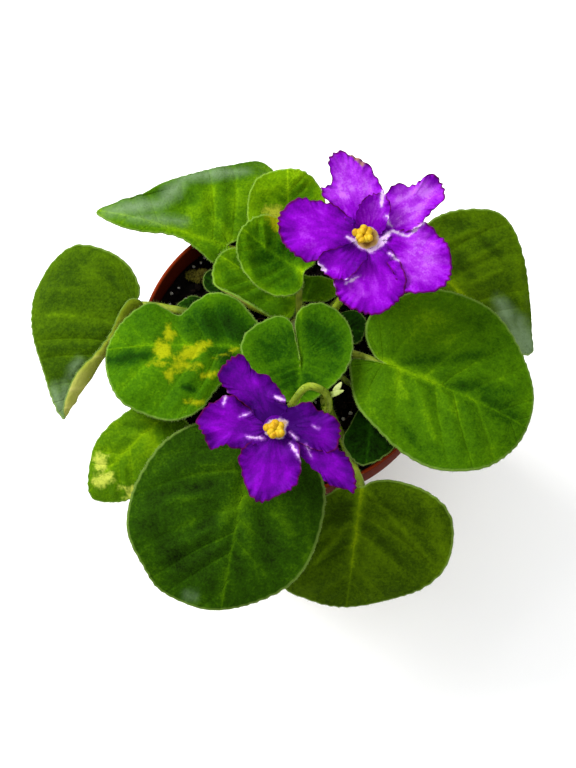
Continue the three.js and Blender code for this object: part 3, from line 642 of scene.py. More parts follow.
def length_of(leaf):
    """How far the blade reaches along its midrib, in mm."""
    return max(u for u, v in leaf["outline"])


def leaf_points(leaf, uv, share, angle, lift):
    """Where points of the sheet lie on the plant: share is 0 in the middle and 1 at the margin."""
    height, ripples, phase = leaf["wave"]
    bowl = leaf["cup"] * (share ** 2 - 1)
    ripple = height * share ** 3 * np.sin(ripples * angle + phase)
    p = np.column_stack([uv, bowl + ripple + lift])
    for toward, start, radius, turn in leaf["bends"]:
        p = bend(p, toward, start, radius, turn)
    heading = Matrix.Rotation(math.radians(leaf["heading"]), 4, "Z")
    pitch = Matrix.Rotation(math.radians(-leaf["pitch"]), 4, "Y")
    return place(np.array(Matrix.Translation(leaf["at"]) @ heading @ pitch), p)


def vein_phase(leaf, uv):
    """Whole numbers lie on side veins; the veins of one half start between those of the other."""
    length = length_of(leaf)
    spread = np.abs(uv[:, 1])
    start = uv[:, 0] - VEIN_START * spread - VEIN_CURVE / length * spread ** 2
    start = start / (1 + (VEIN_END - VEIN_START) / length * spread)
    start = np.where(start > 0, start, 10 * start / np.maximum(spread, 1))
    phase = start / (VEIN_GAP * length) + 0.5 * smoothstep(uv[:, 1], -0.5, 0.5)
    return phase + VEIN_SHIFT * np.sin(2.1 * phase + leaf["heading"])


def quilt(leaf, uv, share):
    """The relief of the sheet: swollen between the side veins, sunken along the midrib."""
    length = length_of(leaf)
    wave = 0.5 - 0.5 * np.cos(2 * np.pi * vein_phase(leaf, uv))
    open_part = smoothstep(1 - share, 0.02, 0.25) * smoothstep(np.abs(uv[:, 1]), 0.6, 4)
    along = np.clip(1 - uv[:, 0] / length, 0, 1)
    groove = np.exp(-(uv[:, 1] / GROOVE_WIDTH) ** 2) * along * smoothstep(uv[:, 0], -4, 2)
    return min(1, length / FULL_QUILT) * QUILT_HEIGHT * wave * open_part - GROOVE_DEPTH * groove


# %% [markdown]
# ## Marks by place
# Patches could be painted on an image, but an image blurs close up and ties the leaf to one picture.
# Here a streak is a line from (x, y) to (x2, y2) on the plant, seen from above, with a reach about
# it. Patches have an edge: their mark is EDGE on it, more inside and less outside, in mm, so that
# noise can make the edge ragged later. Lights and darks are painted light and shade: a leaf is bright
# where it swells and dark in its creases, so they fade out softly and also lift or lower the sheet a
# little to match.

# %% Streaks
EDGE = 3
TAPER = 0.5
GLOW_FADE = 1.9


def from_streak(points, streak):
    """How far points lie from the streak's line, in mm, and more near its ends, so that they taper."""
    start, way = np.array(streak[:2]), np.array(streak[2:4]) - streak[:2]
    share = np.clip((points[:, :2] - start) @ way / (way @ way), 0, 1)
    away = np.linalg.norm(points[:, :2] - start - share[:, None] * way, axis=1)
    return away + TAPER * streak[4] * np.abs(2 * share - 1)


def patch_mark(points, streaks):
    """EDGE on the edge of the nearest streak's patch, plus the mm inside it; 0 far away."""
    marks = [EDGE + streak[4] - from_streak(points, streak) for streak in streaks]
    return np.max([np.zeros(len(points)), *marks], axis=0)


def glow_mark(points, streaks):
    """1 along the streaks, fading out beyond their reach."""
    marks = [1 - smoothstep(from_streak(points, streak), 0, GLOW_FADE * streak[4]) for streak in streaks]
    return np.max([np.zeros(len(points)), *marks], axis=0)


def painted_light_and_shade(leaf, points):
    """Above 0 where light is painted on a leaf, below 0 where shade is painted."""
    return leaf["contrast"] * (glow_mark(points, leaf["light"]) - glow_mark(points, leaf["dark"]))


# %% [markdown]
# ## The blade, its stalk and its coat of hairs
# A leaf and its petiole grew as one, so they are one piece. The upper sheet is fine enough for the
# quilt, and the lower one is plainer. Short hairs stand on both: on the blade they are as green as
# the skin and give it a velvet grain, and along the margin they catch the light as a pale fringe.
# A particle system would make them faster, but it stays behind when the piece is exported, so they
# are real slivers here, a little thicker than life, so that they show.

# %% Sheets of a blade
AROUND = 200
UPPER_RINGS = 34
LOWER_SHARES = (1.0, 0.94, 0.82, 0.66, 0.48, 0.3, 0.14)
RIM_ROUND = 0.25
TOP_SKIN, UNDER_SKIN, ROD_SKIN, HAIR_SKIN = range(4)
VEIN_LIGHT, PAINTED_LIGHT_SHARE = 0.07, 0.14


def sheet_rings(leaf, shares, edge, side):
    """Rings of points over the upper (1) or lower (-1) sheet, with the flat place and share of each."""
    uv, share, angle = shrinking_rings(edge, middle_of(leaf), shares)
    half = side * (MIDDLE_HALF + (RIM_HALF - MIDDLE_HALF) * share ** 2)
    glow = painted_light_and_shade(leaf, leaf_points(leaf, uv, share, angle, half))
    crease = CREASE_HEIGHT * np.clip(glow, -1, 1) * smoothstep(1 - share, 0, 0.2)
    return uv, share, leaf_points(leaf, uv, share, angle, half + quilt(leaf, uv, share) + crease)


def leaf_marks(leaf, uv, share, points):
    """What the leaf materials read at each point."""
    phase = vein_phase(leaf, uv)
    band = (0.5 + 0.5 * np.cos(2 * np.pi * phase)) ** 2 * (1 - share ** 3)
    # The tone carries painted light and shade from the marks, and a painted highlight on the margin, where
    # a cupped blade's rising edge catches the light
    rim = leaf["rim"] * smoothstep(share, 0.7, 1)
    tone = leaf["tone"] + VEIN_LIGHT * band + PAINTED_LIGHT_SHARE * painted_light_and_shade(leaf, points) + rim
    grown = min(1, length_of(leaf) / FULL_QUILT)
    along = np.maximum(0, uv[:, 0] / uv[:, 0].max())
    patches = {kind: patch_mark(points, leaf[kind]) for kind in ("yellow", "silver")}
    return dict(rim=share, vein=phase, grown=grown, midrib=uv[:, 1], along=along, tone=tone,
                olive=leaf["olive"], **patches)


def add_blade(shells, leaf, edge, outward):
    """The blade as one closed shell; gives its points, its top, rim and lower faces, and its tones."""
    shares = 1 - np.arange(UPPER_RINGS) / UPPER_RINGS
    uv, share, above = sheet_rings(leaf, shares, edge, 1)
    uv_low, share_low, below = sheet_rings(leaf, LOWER_SHARES, edge, -1)
    full = np.ones(AROUND)
    verge = leaf_points(leaf, edge + RIM_ROUND * outward, full, circle(AROUND), 0)
    points = np.vstack([above, below, verge])
    low = len(above)
    last = low + len(below)
    top = ring_faces(UPPER_RINGS, AROUND)
    rim = np.vstack([strip(0, last, AROUND), strip(last, low, AROUND)]).tolist()
    underside = flipped(ring_faces(len(LOWER_SHARES), AROUND), low)
    share = np.concatenate([share, share_low, full])
    marks = leaf_marks(leaf, np.vstack([uv, uv_low, edge]), share, points)
    skins = [TOP_SKIN] * len(top + rim) + [UNDER_SKIN] * len(underside)
    shells.add(points, top + rim + underside, skins, **marks)
    return points, top, rim, underside, marks["tone"]


# %% Petioles
CROWN_X, CROWN_Y = 3, 4
CROWN_FOOT, CROWN_TOP = 54, 83
CROWN_PROFILE = ((4.2, CROWN_FOOT), (4.2, 78), (3.36, 81), (1.68, CROWN_TOP))
CROWN_GAP = 0.4
RIB_SUNK = 0.8


def midrib_point(leaf, u, sunk):
    """A point below the sheet on its midrib."""
    middle = middle_of(leaf)[0]
    share = min(1, abs(u - middle) / middle)
    return leaf_points(leaf, np.array([[u, 0.0]]), np.array([share]), np.zeros(1), -sunk)[0]


def petiole_path(leaf):
    """From the crown to the joint, then on below the blade as its midrib."""
    radius, seat = leaf["petiole"], leaf["seat"]
    root = np.array([CROWN_X, CROWN_Y, leaf["root"]])
    joint = midrib_point(leaf, seat, radius + 0.3)
    inner = midrib_point(leaf, seat + 3, radius * 0.8 + 0.2)
    rib = [midrib_point(leaf, share * length_of(leaf), RIB_SUNK) for share in (0.35, 0.55, 0.75)]
    if "via" in leaf:
        return [root, *leaf["via"], joint, inner, *rib]
    approach = joint + unit(joint - inner) * leaf["lead"]
    halfway = (root + approach) / 2 + np.array([0, 0, leaf["rise"]])
    return [root, halfway, approach, joint, inner, *rib]


def rod_radii(leaf, path):
    """How thick the petiole is along its path: it thins where it runs on as the midrib."""
    seat, length = leaf["seat"], length_of(leaf)
    stations = [midrib_point(leaf, u, RIB_SUNK) for u in (seat, seat + 3, 0.35 * length, 0.75 * length)]
    nearest = [np.argmin(np.linalg.norm(path - station, axis=1)) for station in stations]
    radii = (0.85 * leaf["petiole"], 0.55 * leaf["petiole"], 0.45, 0.35)
    return np.interp(np.arange(len(path)), nearest, radii)


def clear_of_crown(path):
    """The part of a path that lies outside the crown's skin."""
    radii, heights = zip(*CROWN_PROFILE)
    skin = np.interp(path[:, 2], heights, radii) + CROWN_GAP
    skin = np.where(path[:, 2] > CROWN_TOP + CROWN_GAP, 0, skin)
    return path[np.argmax(np.hypot(path[:, 0] - CROWN_X, path[:, 1] - CROWN_Y) > skin):]


# %% Whole leaves
TOOTH_LENGTH, TOOTH_HEIGHT = 3.1, 0.16
ROD_STEPS, ROD_SIDES = 44, 10
HAIRS_ABOVE, HAIRS_BELOW, HAIRS_ON_RIM, HAIRS_ON_ROD = 3.6, 0.5, 6.5, 1.5
HAIR_LENGTH, FRINGE_LENGTH, ROD_HAIR_LENGTH = 0.6, 0.65, 1.1


def make_leaf(name, leaf, materials):
    """Blade, petiole and hairs of one leaf."""
    shells = Shells()
    edge, outward, _ = margin(leaf["outline"], AROUND, TOOTH_LENGTH, TOOTH_HEIGHT)
    points, top, rim, underside, tones = add_blade(shells, leaf, edge, outward)
    path = clear_of_crown(smooth_path(petiole_path(leaf), ROD_STEPS))
    rod, rod_faces = tube(path, rod_radii(leaf, path), ROD_SIDES)
    shells.add(rod, rod_faces, ROD_SKIN, tone=leaf["tone"])
    joint = midrib_point(leaf, leaf["seat"], leaf["petiole"])
    free_rings = max(2, np.argmin(np.linalg.norm(path - joint, axis=1)) - 1)
    free_faces = [face for face in rod_faces if max(face) < free_rings * ROD_SIDES]
    tint = dict(skin=HAIR_SKIN, tone=tones, olive=leaf["olive"])
    add_hairs(shells, points, top, HAIRS_ABOVE, HAIR_LENGTH, **tint)
    add_hairs(shells, points, underside, HAIRS_BELOW, HAIR_LENGTH, **tint)
    add_hairs(shells, points, rim, HAIRS_ON_RIM, FRINGE_LENGTH, lean=0.3, pale=0.75, **tint)
    tint["tone"] = leaf["tone"]
    add_hairs(shells, rod, free_faces, HAIRS_ON_ROD, ROD_HAIR_LENGTH, pale=0.4, **tint)
    return shells.finish(name, materials, ["leaf_" + name])


# %% [markdown]
# ## Leaf materials
# Living leaf tissue is wet cells under a waxy skin, with an IOR near 1.45. On this plant the hairs
# scatter the gloss away, so the skin looks matt and deeply coloured. Its greens could be one hue
# made lighter and darker, but real ones turn yellower as they lighten, so they run along two scales,
# fresh and olive, and each leaf has its own place on them. Where the tissue has little chlorophyll
# it is yellow. The silvery patches are painted sheen, where the hairs on a blade that curves away
# are seen at a slant and look silver in the light.

# %% Greens and surfaces of the leaves
FRESH = ((0.0, "#061500"), (0.25, "#163a00"), (0.5, "#365f00"), (0.75, "#5c8500"), (1.0, "#8fb80a"))
OLIVE = ((0.0, "#101700"), (0.25, "#2a3c00"), (0.5, "#485e00"), (0.75, "#708300"), (1.0, "#a6a822"))
UNDERSIDE = ((0.2, "#56680a"), (0.55, "#7d8a22"), (0.95, "#aaa65c"))
PETIOLE = ((0.3, "#37490a"), (0.6, "#5c6f10"), (0.9, "#8c9a2a"))
MATT_SKIN = {"IOR": 1.45, "Roughness": 0.75, "Specular IOR Level": 0.03}
JUICY_SKIN = {"IOR": 1.4, "Roughness": 0.5, "Specular IOR Level": 0.2, "Subsurface Weight": 0.1,
              "Subsurface Radius": (0.001, 0.001, 0.0003)}


def leaf_green(add, tone):
    """The leaf's green at a tone, between its fresh and its olive scale."""
    olive = add("Attribute", out=2, attribute_name="olive")
    greens = [add("ValToRGB", tone, stops=scale) for scale in (FRESH, OLIVE)]
    return add("Mix", olive, *greens, data_type="RGBA")


# %% The upper skin
def leaf_upper():
    """Upper leaf skin: matt velvet, light veins and yellow patches, with painted sheen, light and shade.
    """
    material, add = start_material("leaf_velvet_upper_skin", MATT_SKIN)
    space = add("TexCoord", out=3)
    rim, tone, side, along, phase, grown, yellow, silver, olive = (
        add("Attribute", out=2, attribute_name=mark)
        for mark in ("rim", "tone", "midrib", "along", "vein", "grown", "yellow", "silver", "olive"))
    # The midrib: a soft light band 5 mm wide at the joint, with a crisp line of 1 mm on it
    width = add("Math", 1.2, along, operation="SUBTRACT")
    away = add("Math", add("Math", side, operation="ABSOLUTE"), width, operation="DIVIDE")
    lights = [add("MapRange", away, 0.2, 2.2, 0.1, 0.0, **SMOOTH),
              add("MapRange", away, 0.15, 0.7, 0.07, 0.0, **SMOOTH)]
    # Side veins: a thin line where the phase is whole, fading towards the margin and on small leaves
    wobble = add("TexNoise", space, 1 / (5 * MM))
    phase = add("Math", wobble, 0.12, phase, operation="MULTIPLY_ADD")
    gap = add("Math", phase, 0.5, operation="PINGPONG")
    vein = add("MapRange", gap, 0.0, 0.11, 1.0, 0.0, **SMOOTH)
    vein = add("Math", vein, add("Math", grown, 2.0, operation="POWER"), operation="MULTIPLY")
    inside = add("MapRange", rim, 0.35, 0.95, 0.06, 0.0)
    lights.append(add("Math", vein, inside, operation="MULTIPLY"))
    # Cloudy areas of 14 mm, the grain of the hairs, drawn at 0.6 mm so that it shows, and pebbling
    # of 1.8 mm, where groups of cells swell between the finest veins
    noises = []
    for size, detail, swing in ((14, 2.0, 0.08), (0.6, 3.0, 0.07), (1.8, 2.0, 0.05)):
        noises.append(add("TexNoise", space, 1 / (size * MM), detail))
        lights.append(add("MapRange", noises[-1], 0.3, 0.7, -swing, swing))
    for light in lights:
        tone = add("Math", tone, light, operation="ADD")
    colour = leaf_green(add, tone)
    # Yellow patches with ragged edges, a painted silvery sheen that fades in softly, and the margin's
    # pale line, a painted highlight where its hairs catch the light
    tatter = add("TexNoise", space, 1 / (2.6 * MM), 5.0, 0.7)
    yellow = add("Math", tatter, 7.0, yellow, operation="MULTIPLY_ADD")
    silver = add("Math", tatter, 3.0, silver, operation="MULTIPLY_ADD")
    cream = add("Mix", olive, srgb("#888e05"), srgb("#d0dc70"), data_type="RGBA")
    colour = overlay(add, colour, cream, yellow, EDGE + 2.8, EDGE + 5.2, 0.92)
    colour = overlay(add, colour, srgb("#6c8260"), silver, EDGE - 1.0, EDGE + 5.5, 0.8)
    colour = overlay(add, colour, srgb("#7f9a44"), rim, 0.975, 0.995, 0.33)
    height = add("Math", vein, -0.9, noises[1], operation="MULTIPLY_ADD")
    height = add("Math", noises[2], 1.6, height, operation="MULTIPLY_ADD")
    return end_material(material, colour, height, 0.16)


# %% The underside and the hairs
def leaf_lower():
    """Leaf blade, underside: paler and greyer, with raised veins, beige towards the tip."""
    material, add = start_material("leaf_pale_underside", MATT_SKIN)
    space = add("TexCoord", out=3)
    along, phase = (add("Attribute", out=2, attribute_name=mark) for mark in ("along", "vein"))
    gap = add("Math", phase, 0.5, operation="PINGPONG")
    vein = add("MapRange", gap, 0.0, 0.14, 0.1, 0.0, **SMOOTH)
    # Clouds of 8 mm, and cells of a tenth of a millimetre, drawn at 0.7 mm so that they show
    cloud = add("TexNoise", space, 1 / (8 * MM), 3.0)
    tone = add("Math", cloud, 0.5, vein, operation="MULTIPLY_ADD")
    tone = add("Math", along, 0.6, tone, operation="MULTIPLY_ADD")
    colour = add("ValToRGB", tone, stops=UNDERSIDE)
    cells = add("TexNoise", space, 1 / (0.7 * MM))
    height = add("Math", vein, 6.0, cells, operation="MULTIPLY_ADD")
    return end_material(material, colour, height, 0.15)


def hair_material():
    """Plant hairs: clear cells that pass on the green below, and look pale against the light."""
    material, add = start_material("plant_hair_clear_cells", MATT_SKIN)
    space = add("TexCoord", out=3)
    tone, pale = (add("Attribute", out=2, attribute_name=mark) for mark in ("tone", "pale"))
    # One tuft of hairs differs from the next, so the noise is 1.5 mm wide, some three hairs
    cloud = add("TexNoise", space, 1 / (1.5 * MM))
    tone = add("Math", cloud, 0.3, tone, operation="MULTIPLY_ADD")
    colour = add("Mix", pale, leaf_green(add, tone), srgb("#97a767"), data_type="RGBA")
    return end_material(material, colour, cloud, 0.02)


# %% All the leaves
# Stalks are watery tissue, IOR 1.4, so light sinks in a little. Their blotches are 4 mm wide, and
# their cells are drawn at 0.45 mm, coarser than life, so that they show.
STALK_GRAIN, STALK_RELIEF = 0.45, 0.1
LEAF_SKINS = [leaf_upper(), leaf_lower(),
              speckled("petiole_green_skin", JUICY_SKIN, PETIOLE, 4, STALK_GRAIN, STALK_RELIEF),
              hair_material()]
for name, leaf in LEAVES.items():
    make_leaf(name, leaf, LEAF_SKINS)

# %% [markdown]
# ## The blooms
# Each bloom is one corolla: five fused lobes, here with two more curled ones on the upper bloom,
# that leave a short tube. It could be one sheet cut into lobes, but real lobes overlap in layers, so
# each is a shell of its own at its own height (layer), with a rim that curls up and is ruffled.
# Outlines are in the bloom's own plane, x to the right and y to the back. White and torn marks are
# (x, y, x2, y2, reach) on the plant, a ruffle is its height, count and phase, and a bract is its
# place, heading and length.

# %% Bloom table
BLOOMS = {
    "lower": dict(
        at=(-4, -36, 106), tilt=12, root=77, anthers=(0, -1), paler=0, torn=[],
        bracts=[(13, -25, 103.5, 10, 2.6), (13.5, -23.5, 104, 50, 2)],
        stalk=[(9, -6, 81), (10, -23, 88), (11, -27, 97), (10, -25, 104), (5, -24, 106.5),
            (0, -29, 103.5), (-3, -31.5, 100.2)],
        white=[(-14, -33, -11, -32, 0.3), (-12, -38.5, -7, -39.2, 0.5), (-4, -28, -0.5, -29.5, 0.6),
            (-18.5, -29.5, -17.5, -26.5, 0.5), (0, -37.5, 2, -39.5, 0.4), (0, -40.5, 3, -45.5, 0.6),
            (4.5, -41, 6, -44, 0.3), (6.5, -36, 8, -36.5, 0.2), (3.5, -47.5, 6, -49, 0.4)],
        petals={
            "upper_left": dict(layer=0.4, curl=1.2, ruffle=(1.1, 6, 0), tone=0.2,
                outline=[(3, 4), (3, 7), (1, 11), (-2, 14), (-6, 16), (-9, 20), (-13, 19), (-16, 15),
                    (-15, 12), (-12, 9), (-7, 5), (-3, 1), (1, 0)]),
            "left": dict(layer=-0.6, curl=0.6, ruffle=(1.2, 7, 1), tone=0.35,
                outline=[(-4, 4), (-8, 6), (-12, 9), (-16, 8), (-19, 6), (-22, 2), (-20, -2), (-18, -6),
                    (-14, -5), (-10, -6), (-6, -5), (-1, -3), (1, 1)]),
            "bottom": dict(layer=1.1, curl=0.8, ruffle=(0.9, 5, 2), tone=0.38,
                outline=[(-2, -1), (-7, -4), (-10, -8), (-9, -14), (-7, -19), (-4, -21), (1, -19),
                    (5, -17), (7, -13), (7, -9), (6, -4), (3, 0)]),
            "lower_right": dict(layer=-0.2, curl=0.4, ruffle=(0.8, 5, 0), tone=0.26,
                outline=[(2, -3), (6, -7), (11, -12), (15, -16), (19, -17), (22, -18), (22, -13),
                    (20, -8), (15, -4), (10, -1), (4, 1), (0, 0)]),
            "upper_right": dict(layer=0.8, curl=0.6, ruffle=(1, 6, 1), tone=0.2,
                outline=[(2, -2), (8, -5), (13, -7), (17, -6), (18, 0), (16, 3), (12, 5), (9, 7), (5, 6),
                    (2, 4), (0, 1)]),
        }),
    "upper": dict(
        at=(22, 19, 112), tilt=14, root=77.5, anthers=(-1, 0.3), paler=1.2, bracts=[],
        stalk=[(9, 5, 80), (15, 9, 90), (20, 15, 100)],
        white=[(16.5, 19, 23, 15, 1.1), (23, 15, 28, 19.5, 1.5), (29, 20, 33.5, 19, 0.6),
            (33.5, 19, 38, 22, 0.6), (26.5, 31.5, 26, 26.5, 0.9), (27, 24, 29, 22, 0.6),
            (8, 10, 10, 8.5, 1), (12, 5, 12.5, 1, 0.6), (16, 5.5, 19.5, 7.5, 0.5), (28, 14, 31, 12, 0.6)],
        torn=[(16, 44.5, 21, 38.5, 0.7)],
        petals={
            "top": dict(layer=-0.4, curl=1.5, ruffle=(0.9, 5, 0), tone=0.76,
                outline=[(4, 6), (5, 12), (3, 17), (0, 21), (-5, 24), (-8, 25), (-11, 22), (-10, 16),
                    (-13, 14), (-12, 11), (-7, 6), (-2, 1), (2, 1)]),
            "upper_right": dict(layer=0.3, curl=1.4, ruffle=(1.1, 6, 1), tone=0.78,
                outline=[(4, -1), (10, 1), (15, 3), (18, 7), (22, 11), (21, 16), (18, 18), (13, 15),
                    (8, 15), (5, 12), (2, 7), (1, 1)]),
            "lower_right": dict(layer=0.9, curl=0.8, ruffle=(1.1, 7, 2), tone=0.72,
                outline=[(1, -3), (5, -7), (8, -12), (11, -16), (17, -16), (22, -14), (24, -9), (23, -3),
                    (20, 1), (16, 4), (10, 2), (4, 2), (0, 1)]),
            "bottom": dict(layer=1.6, curl=0.6, ruffle=(1, 6, 0), tone=0.58,
                outline=[(-2, 0), (-6, -5), (-9, -10), (-9, -16), (-6, -20), (-1, -22), (4, -22),
                    (9, -18), (11, -13), (9, -7), (6, -3), (2, 1)]),
            "left": dict(layer=0.2, curl=0.8, ruffle=(1, 7, 1), tone=0.53,
                outline=[(-1, 3), (-5, 6), (-9, 9), (-14, 10.5), (-20, 11), (-24.7, 7), (-25, 1),
                    (-22, -4), (-17, -7), (-12, -6), (-7, -4), (-2, -3), (1, 0)]),
            "curl": dict(layer=2.4, curl=2, ruffle=(1.2, 4, 0), tone=0.48,
                outline=[(-2, -1), (-7, -3), (-11, -4), (-14, -7), (-12, -11), (-8, -13), (-4, -11),
                    (0, -6)]),
            "crest": dict(layer=2.6, curl=2.4, ruffle=(0.8, 4, 1), tone=0.8,
                outline=[(4, 1), (6, 5), (6, 9), (4, 12), (0, 11), (-3, 7), (-3, 2), (0, 0)]),
        }),
}
print("petals:", sum(len(bloom["petals"]) for bloom in BLOOMS.values()))

# %% Making petals
PETAL_AROUND, PETAL_RINGS = 176, 26
PETAL_RIM, PETAL_MIDDLE = 0.14, 0.32
FRILL_LENGTH, FRILL_HEIGHT, FRILL_TOOTH = 2.6, 0.75, 0.34
PLEATS, PLEAT_HEIGHT = 30, 0.06
FOLDS, FOLD_HEIGHT = 8, 0.5
FUNNEL = ((0, -4), (1.5, -4), (1.9, -3.6), (2.4, -2.2), (3.2, -0.8), (3.6, 0.1), (3.3, 0.5), (0, 0.5))


def bloom_matrix(bloom):
    """From the bloom's own plane to the plant, in mm."""
    return np.array(Matrix.Translation(bloom["at"]) @ Matrix.Rotation(math.radians(bloom["tilt"]), 4, "X"))


def petal_points(bloom, petal, uv, share, angle, lift, frills):
    """Where points of a lobe lie on the plant."""
    height, ripples, phase = petal["ruffle"]
    free = smoothstep(np.hypot(uv[:, 0], uv[:, 1]), 2, 9)
    ripple = height * np.sin(ripples * angle + phase)
    strength = 0.6 + 0.4 * np.sin(4 * angle + 2 * phase)
    frill = strength * share ** 7 * np.sin(frills * angle + 2.2 * np.sin(3 * angle + phase))
    fan = np.arctan2(uv[:, 1], uv[:, 0])
    pleat = PLEAT_HEIGHT * np.sin(PLEATS * fan + 2 * np.sin(5 * fan)) * (1 - share ** 4)
    fold = FOLD_HEIGHT * np.sin(FOLDS * fan + 3 * petal["layer"]) * share * (1 - share ** 3)
    curled = share ** 3 * (petal["curl"] + ripple)
    w = free * (petal["layer"] + curled + FRILL_HEIGHT * frill + pleat + fold) + lift
    return place(bloom_matrix(bloom), np.column_stack([uv, w]))


def add_petal(shells, bloom, petal):
    """One lobe of the corolla as a closed shell."""
    edge, _, frills = margin(petal["outline"], PETAL_AROUND, FRILL_LENGTH, FRILL_TOOTH)
    middle = middle_of(petal)
    uv, share, angle = shrinking_rings(edge, middle, 1 - np.arange(PETAL_RINGS) / PETAL_RINGS)
    half = PETAL_MIDDLE + (PETAL_RIM - PETAL_MIDDLE) * share ** 2
    points = np.vstack([petal_points(bloom, petal, uv, share, angle, lift, frills)
                        for lift in (half, -half)])
    low = len(uv)
    faces = ring_faces(PETAL_RINGS, PETAL_AROUND)
    band = strip(0, low, PETAL_AROUND).tolist()
    # The fan angle is counted from the lobe's own middle, so that its seam lies on the far side
    ahead = math.atan2(middle[1], middle[0])
    fan = (np.arctan2(uv[:, 1], uv[:, 0]) - ahead + np.pi) % (2 * np.pi) - np.pi
    shells.add(points, faces + band + flipped(faces, low), 0, rim=np.tile(share, 2), fan=np.tile(fan, 2),
               reach=np.tile(np.hypot(uv[:, 0], uv[:, 1]), 2), tone=petal["tone"],
               pale=patch_mark(points, bloom["white"]), brown=patch_mark(points, bloom["torn"]))


def make_corolla(name, bloom, materials):
    """All the lobes and the short tube behind them."""
    shells = Shells()
    for petal in bloom["petals"].values():
        add_petal(shells, bloom, petal)
    points, faces = turned(FUNNEL, 48)
    x, y, z = points.T
    reach = np.hypot(x, y) - bloom["paler"] * (z > 0)
    shells.add(place(bloom_matrix(bloom), points), faces, 0, reach=reach, fan=np.arctan2(y, x), tone=0.45)
    return shells.finish(name + "_corolla", materials, [name + "_bloom_petals"])


# %% [markdown]
# ## Anthers, stalks and sepals
# In the throat sit fat golden anthers, each split into two lobes. Behind the corolla the stalk
# ends in a small green cup with five narrow sepals. The lower stalk also carries a pair of pale
# hooked bracts. Sacs and leaflets could be sculpted, but balls pressed into shape by a line of
# arithmetic are closed, smooth and easy to vary. Cup and stalk are a turned body and a tube.

# %% Anthers
SACS = ((-1.9, 0.7, 2.6), (-0.2, 1.5, 2.9), (-0.9, -1, 3.1), (1.1, -0.9, 2.8), (1.2, 0.9, 2.5))
SAC_RADII = np.array([1.55, 1.35, 1.15])
SAC_TURN, GROOVE_SHARE, GROOVE_SPAN = 1.1, 0.28, 0.28
FILAMENT = ((0, 0.9), (0.75, 0.9), (0.8, 1.2), (0.8, 2.3), (0, 2.3))


def turn_z(points, angle):
    """Points turned about the upright axis."""
    c, s = math.cos(angle), math.sin(angle)
    return points @ np.array([[c, s, 0], [-s, c, 0], [0, 0, 1]])


def make_anthers(name, bloom, materials):
    """A filament stub and five grooved sacs."""
    shells = Shells()
    matrix = bloom_matrix(bloom)
    points, faces = turned(FILAMENT, 20)
    shells.add(place(matrix, points), faces, 0)
    for k, (x, y, z) in enumerate(SACS):
        points, faces = ball()
        groove = 1 - GROOVE_SHARE * np.exp(-(points[:, 0] / GROOVE_SPAN) ** 2) * (points[:, 2] > -0.3)
        sac = turn_z(points * groove[:, None] * SAC_RADII, SAC_TURN * k)
        centre = np.array([x + bloom["anthers"][0], y + bloom["anthers"][1], z])
        shells.add(place(matrix, sac + centre), faces, 0, tone=k / len(SACS))
    return shells.finish(name + "_anthers", materials, [name + "_bloom_anthers"])


# %% Stalks, sepals and bracts
CUP = ((0, -6.6), (0.9, -6.5), (1.5, -6.1), (2.0, -5.2), (1.9, -4.4), (0, -4.3))
STALK_RADIUS, STALK_END = 1.1, (0, 0, -5.5)
SEPALS, SEPAL_AT, SEPAL_LIFT = 5, (3.2, 0, -4.1), math.radians(35)
BRACT_LIFT = math.radians(20)
STALK_SKIN, STALK_HAIR_SKIN, BRACT_SKIN = range(3)


def tilt_y(points, angle):
    """Points turned about the y axis, which lifts what lies ahead for a negative angle."""
    c, s = math.cos(angle), math.sin(angle)
    return points @ np.array([[c, 0, -s], [0, 1, 0], [s, 0, c]])


def sliver(length, width, thick, hook):
    """A narrow leaflet along x, slimmer ahead, that curls up by its hook."""
    points, faces = ball(20, 12)
    along = (points[:, 0] + 1) / 2
    narrowing = width * (1.15 - 0.6 * along)
    body = np.column_stack([points[:, 0] * length, points[:, 1] * narrowing, points[:, 2] * thick])
    body[:, 2] += hook * along ** 2 + 0.2 * (body[:, 1] / width) ** 2
    return body, faces


def make_stalk(name, bloom, materials):
    """The hairy stalk, the cup under the corolla with its sepals, and any bracts."""
    shells = Shells()
    matrix = bloom_matrix(bloom)
    seat = place(matrix, np.array([STALK_END]))[0]
    path = clear_of_crown(smooth_path([(CROWN_X, CROWN_Y, bloom["root"]), *bloom["stalk"], seat], 60))
    points, faces = tube(path, STALK_RADIUS, 14)
    shells.add(points, faces, STALK_SKIN)
    add_hairs(shells, points, faces, density=3.0, length=1.0, skin=STALK_HAIR_SKIN)
    cup, cup_faces = turned(CUP, 32)
    shells.add(place(matrix, cup), cup_faces, STALK_SKIN)
    for spin in circle(SEPALS) - math.pi / 2:
        sepal, sepal_faces = sliver(length=2.4, width=0.9, thick=0.3, hook=0.3)
        sepal = turn_z(tilt_y(sepal, -SEPAL_LIFT) + np.array(SEPAL_AT), spin)
        shells.add(place(matrix, sepal), sepal_faces, STALK_SKIN)
    for x, y, z, heading, length in bloom["bracts"]:
        bract, bract_faces = sliver(length, width=1.0, thick=0.35, hook=0.6)
        bract = turn_z(tilt_y(bract, -BRACT_LIFT), math.radians(heading)) + np.array([x, y, z])
        shells.add(bract, bract_faces, BRACT_SKIN)
        add_hairs(shells, bract, bract_faces, density=2.0, length=0.6, skin=STALK_HAIR_SKIN)
    return shells.finish(name + "_stalk", materials, [name + "_bloom_stalk"])


# %% [markdown]
# ## Petal and anther materials
# Petal tissue is thin and watery, with an IOR near 1.4 and a satin skin of tiny domed cells. Its
# violet is mottled in streaks that run out from the throat, and darkens to a reddish rim. The
# throat is cream, and some lobes carry white flashes where the violet is missing. A painted image
# could hold all that, but noise stretched along each lobe gives streaks that are sharp at any size.

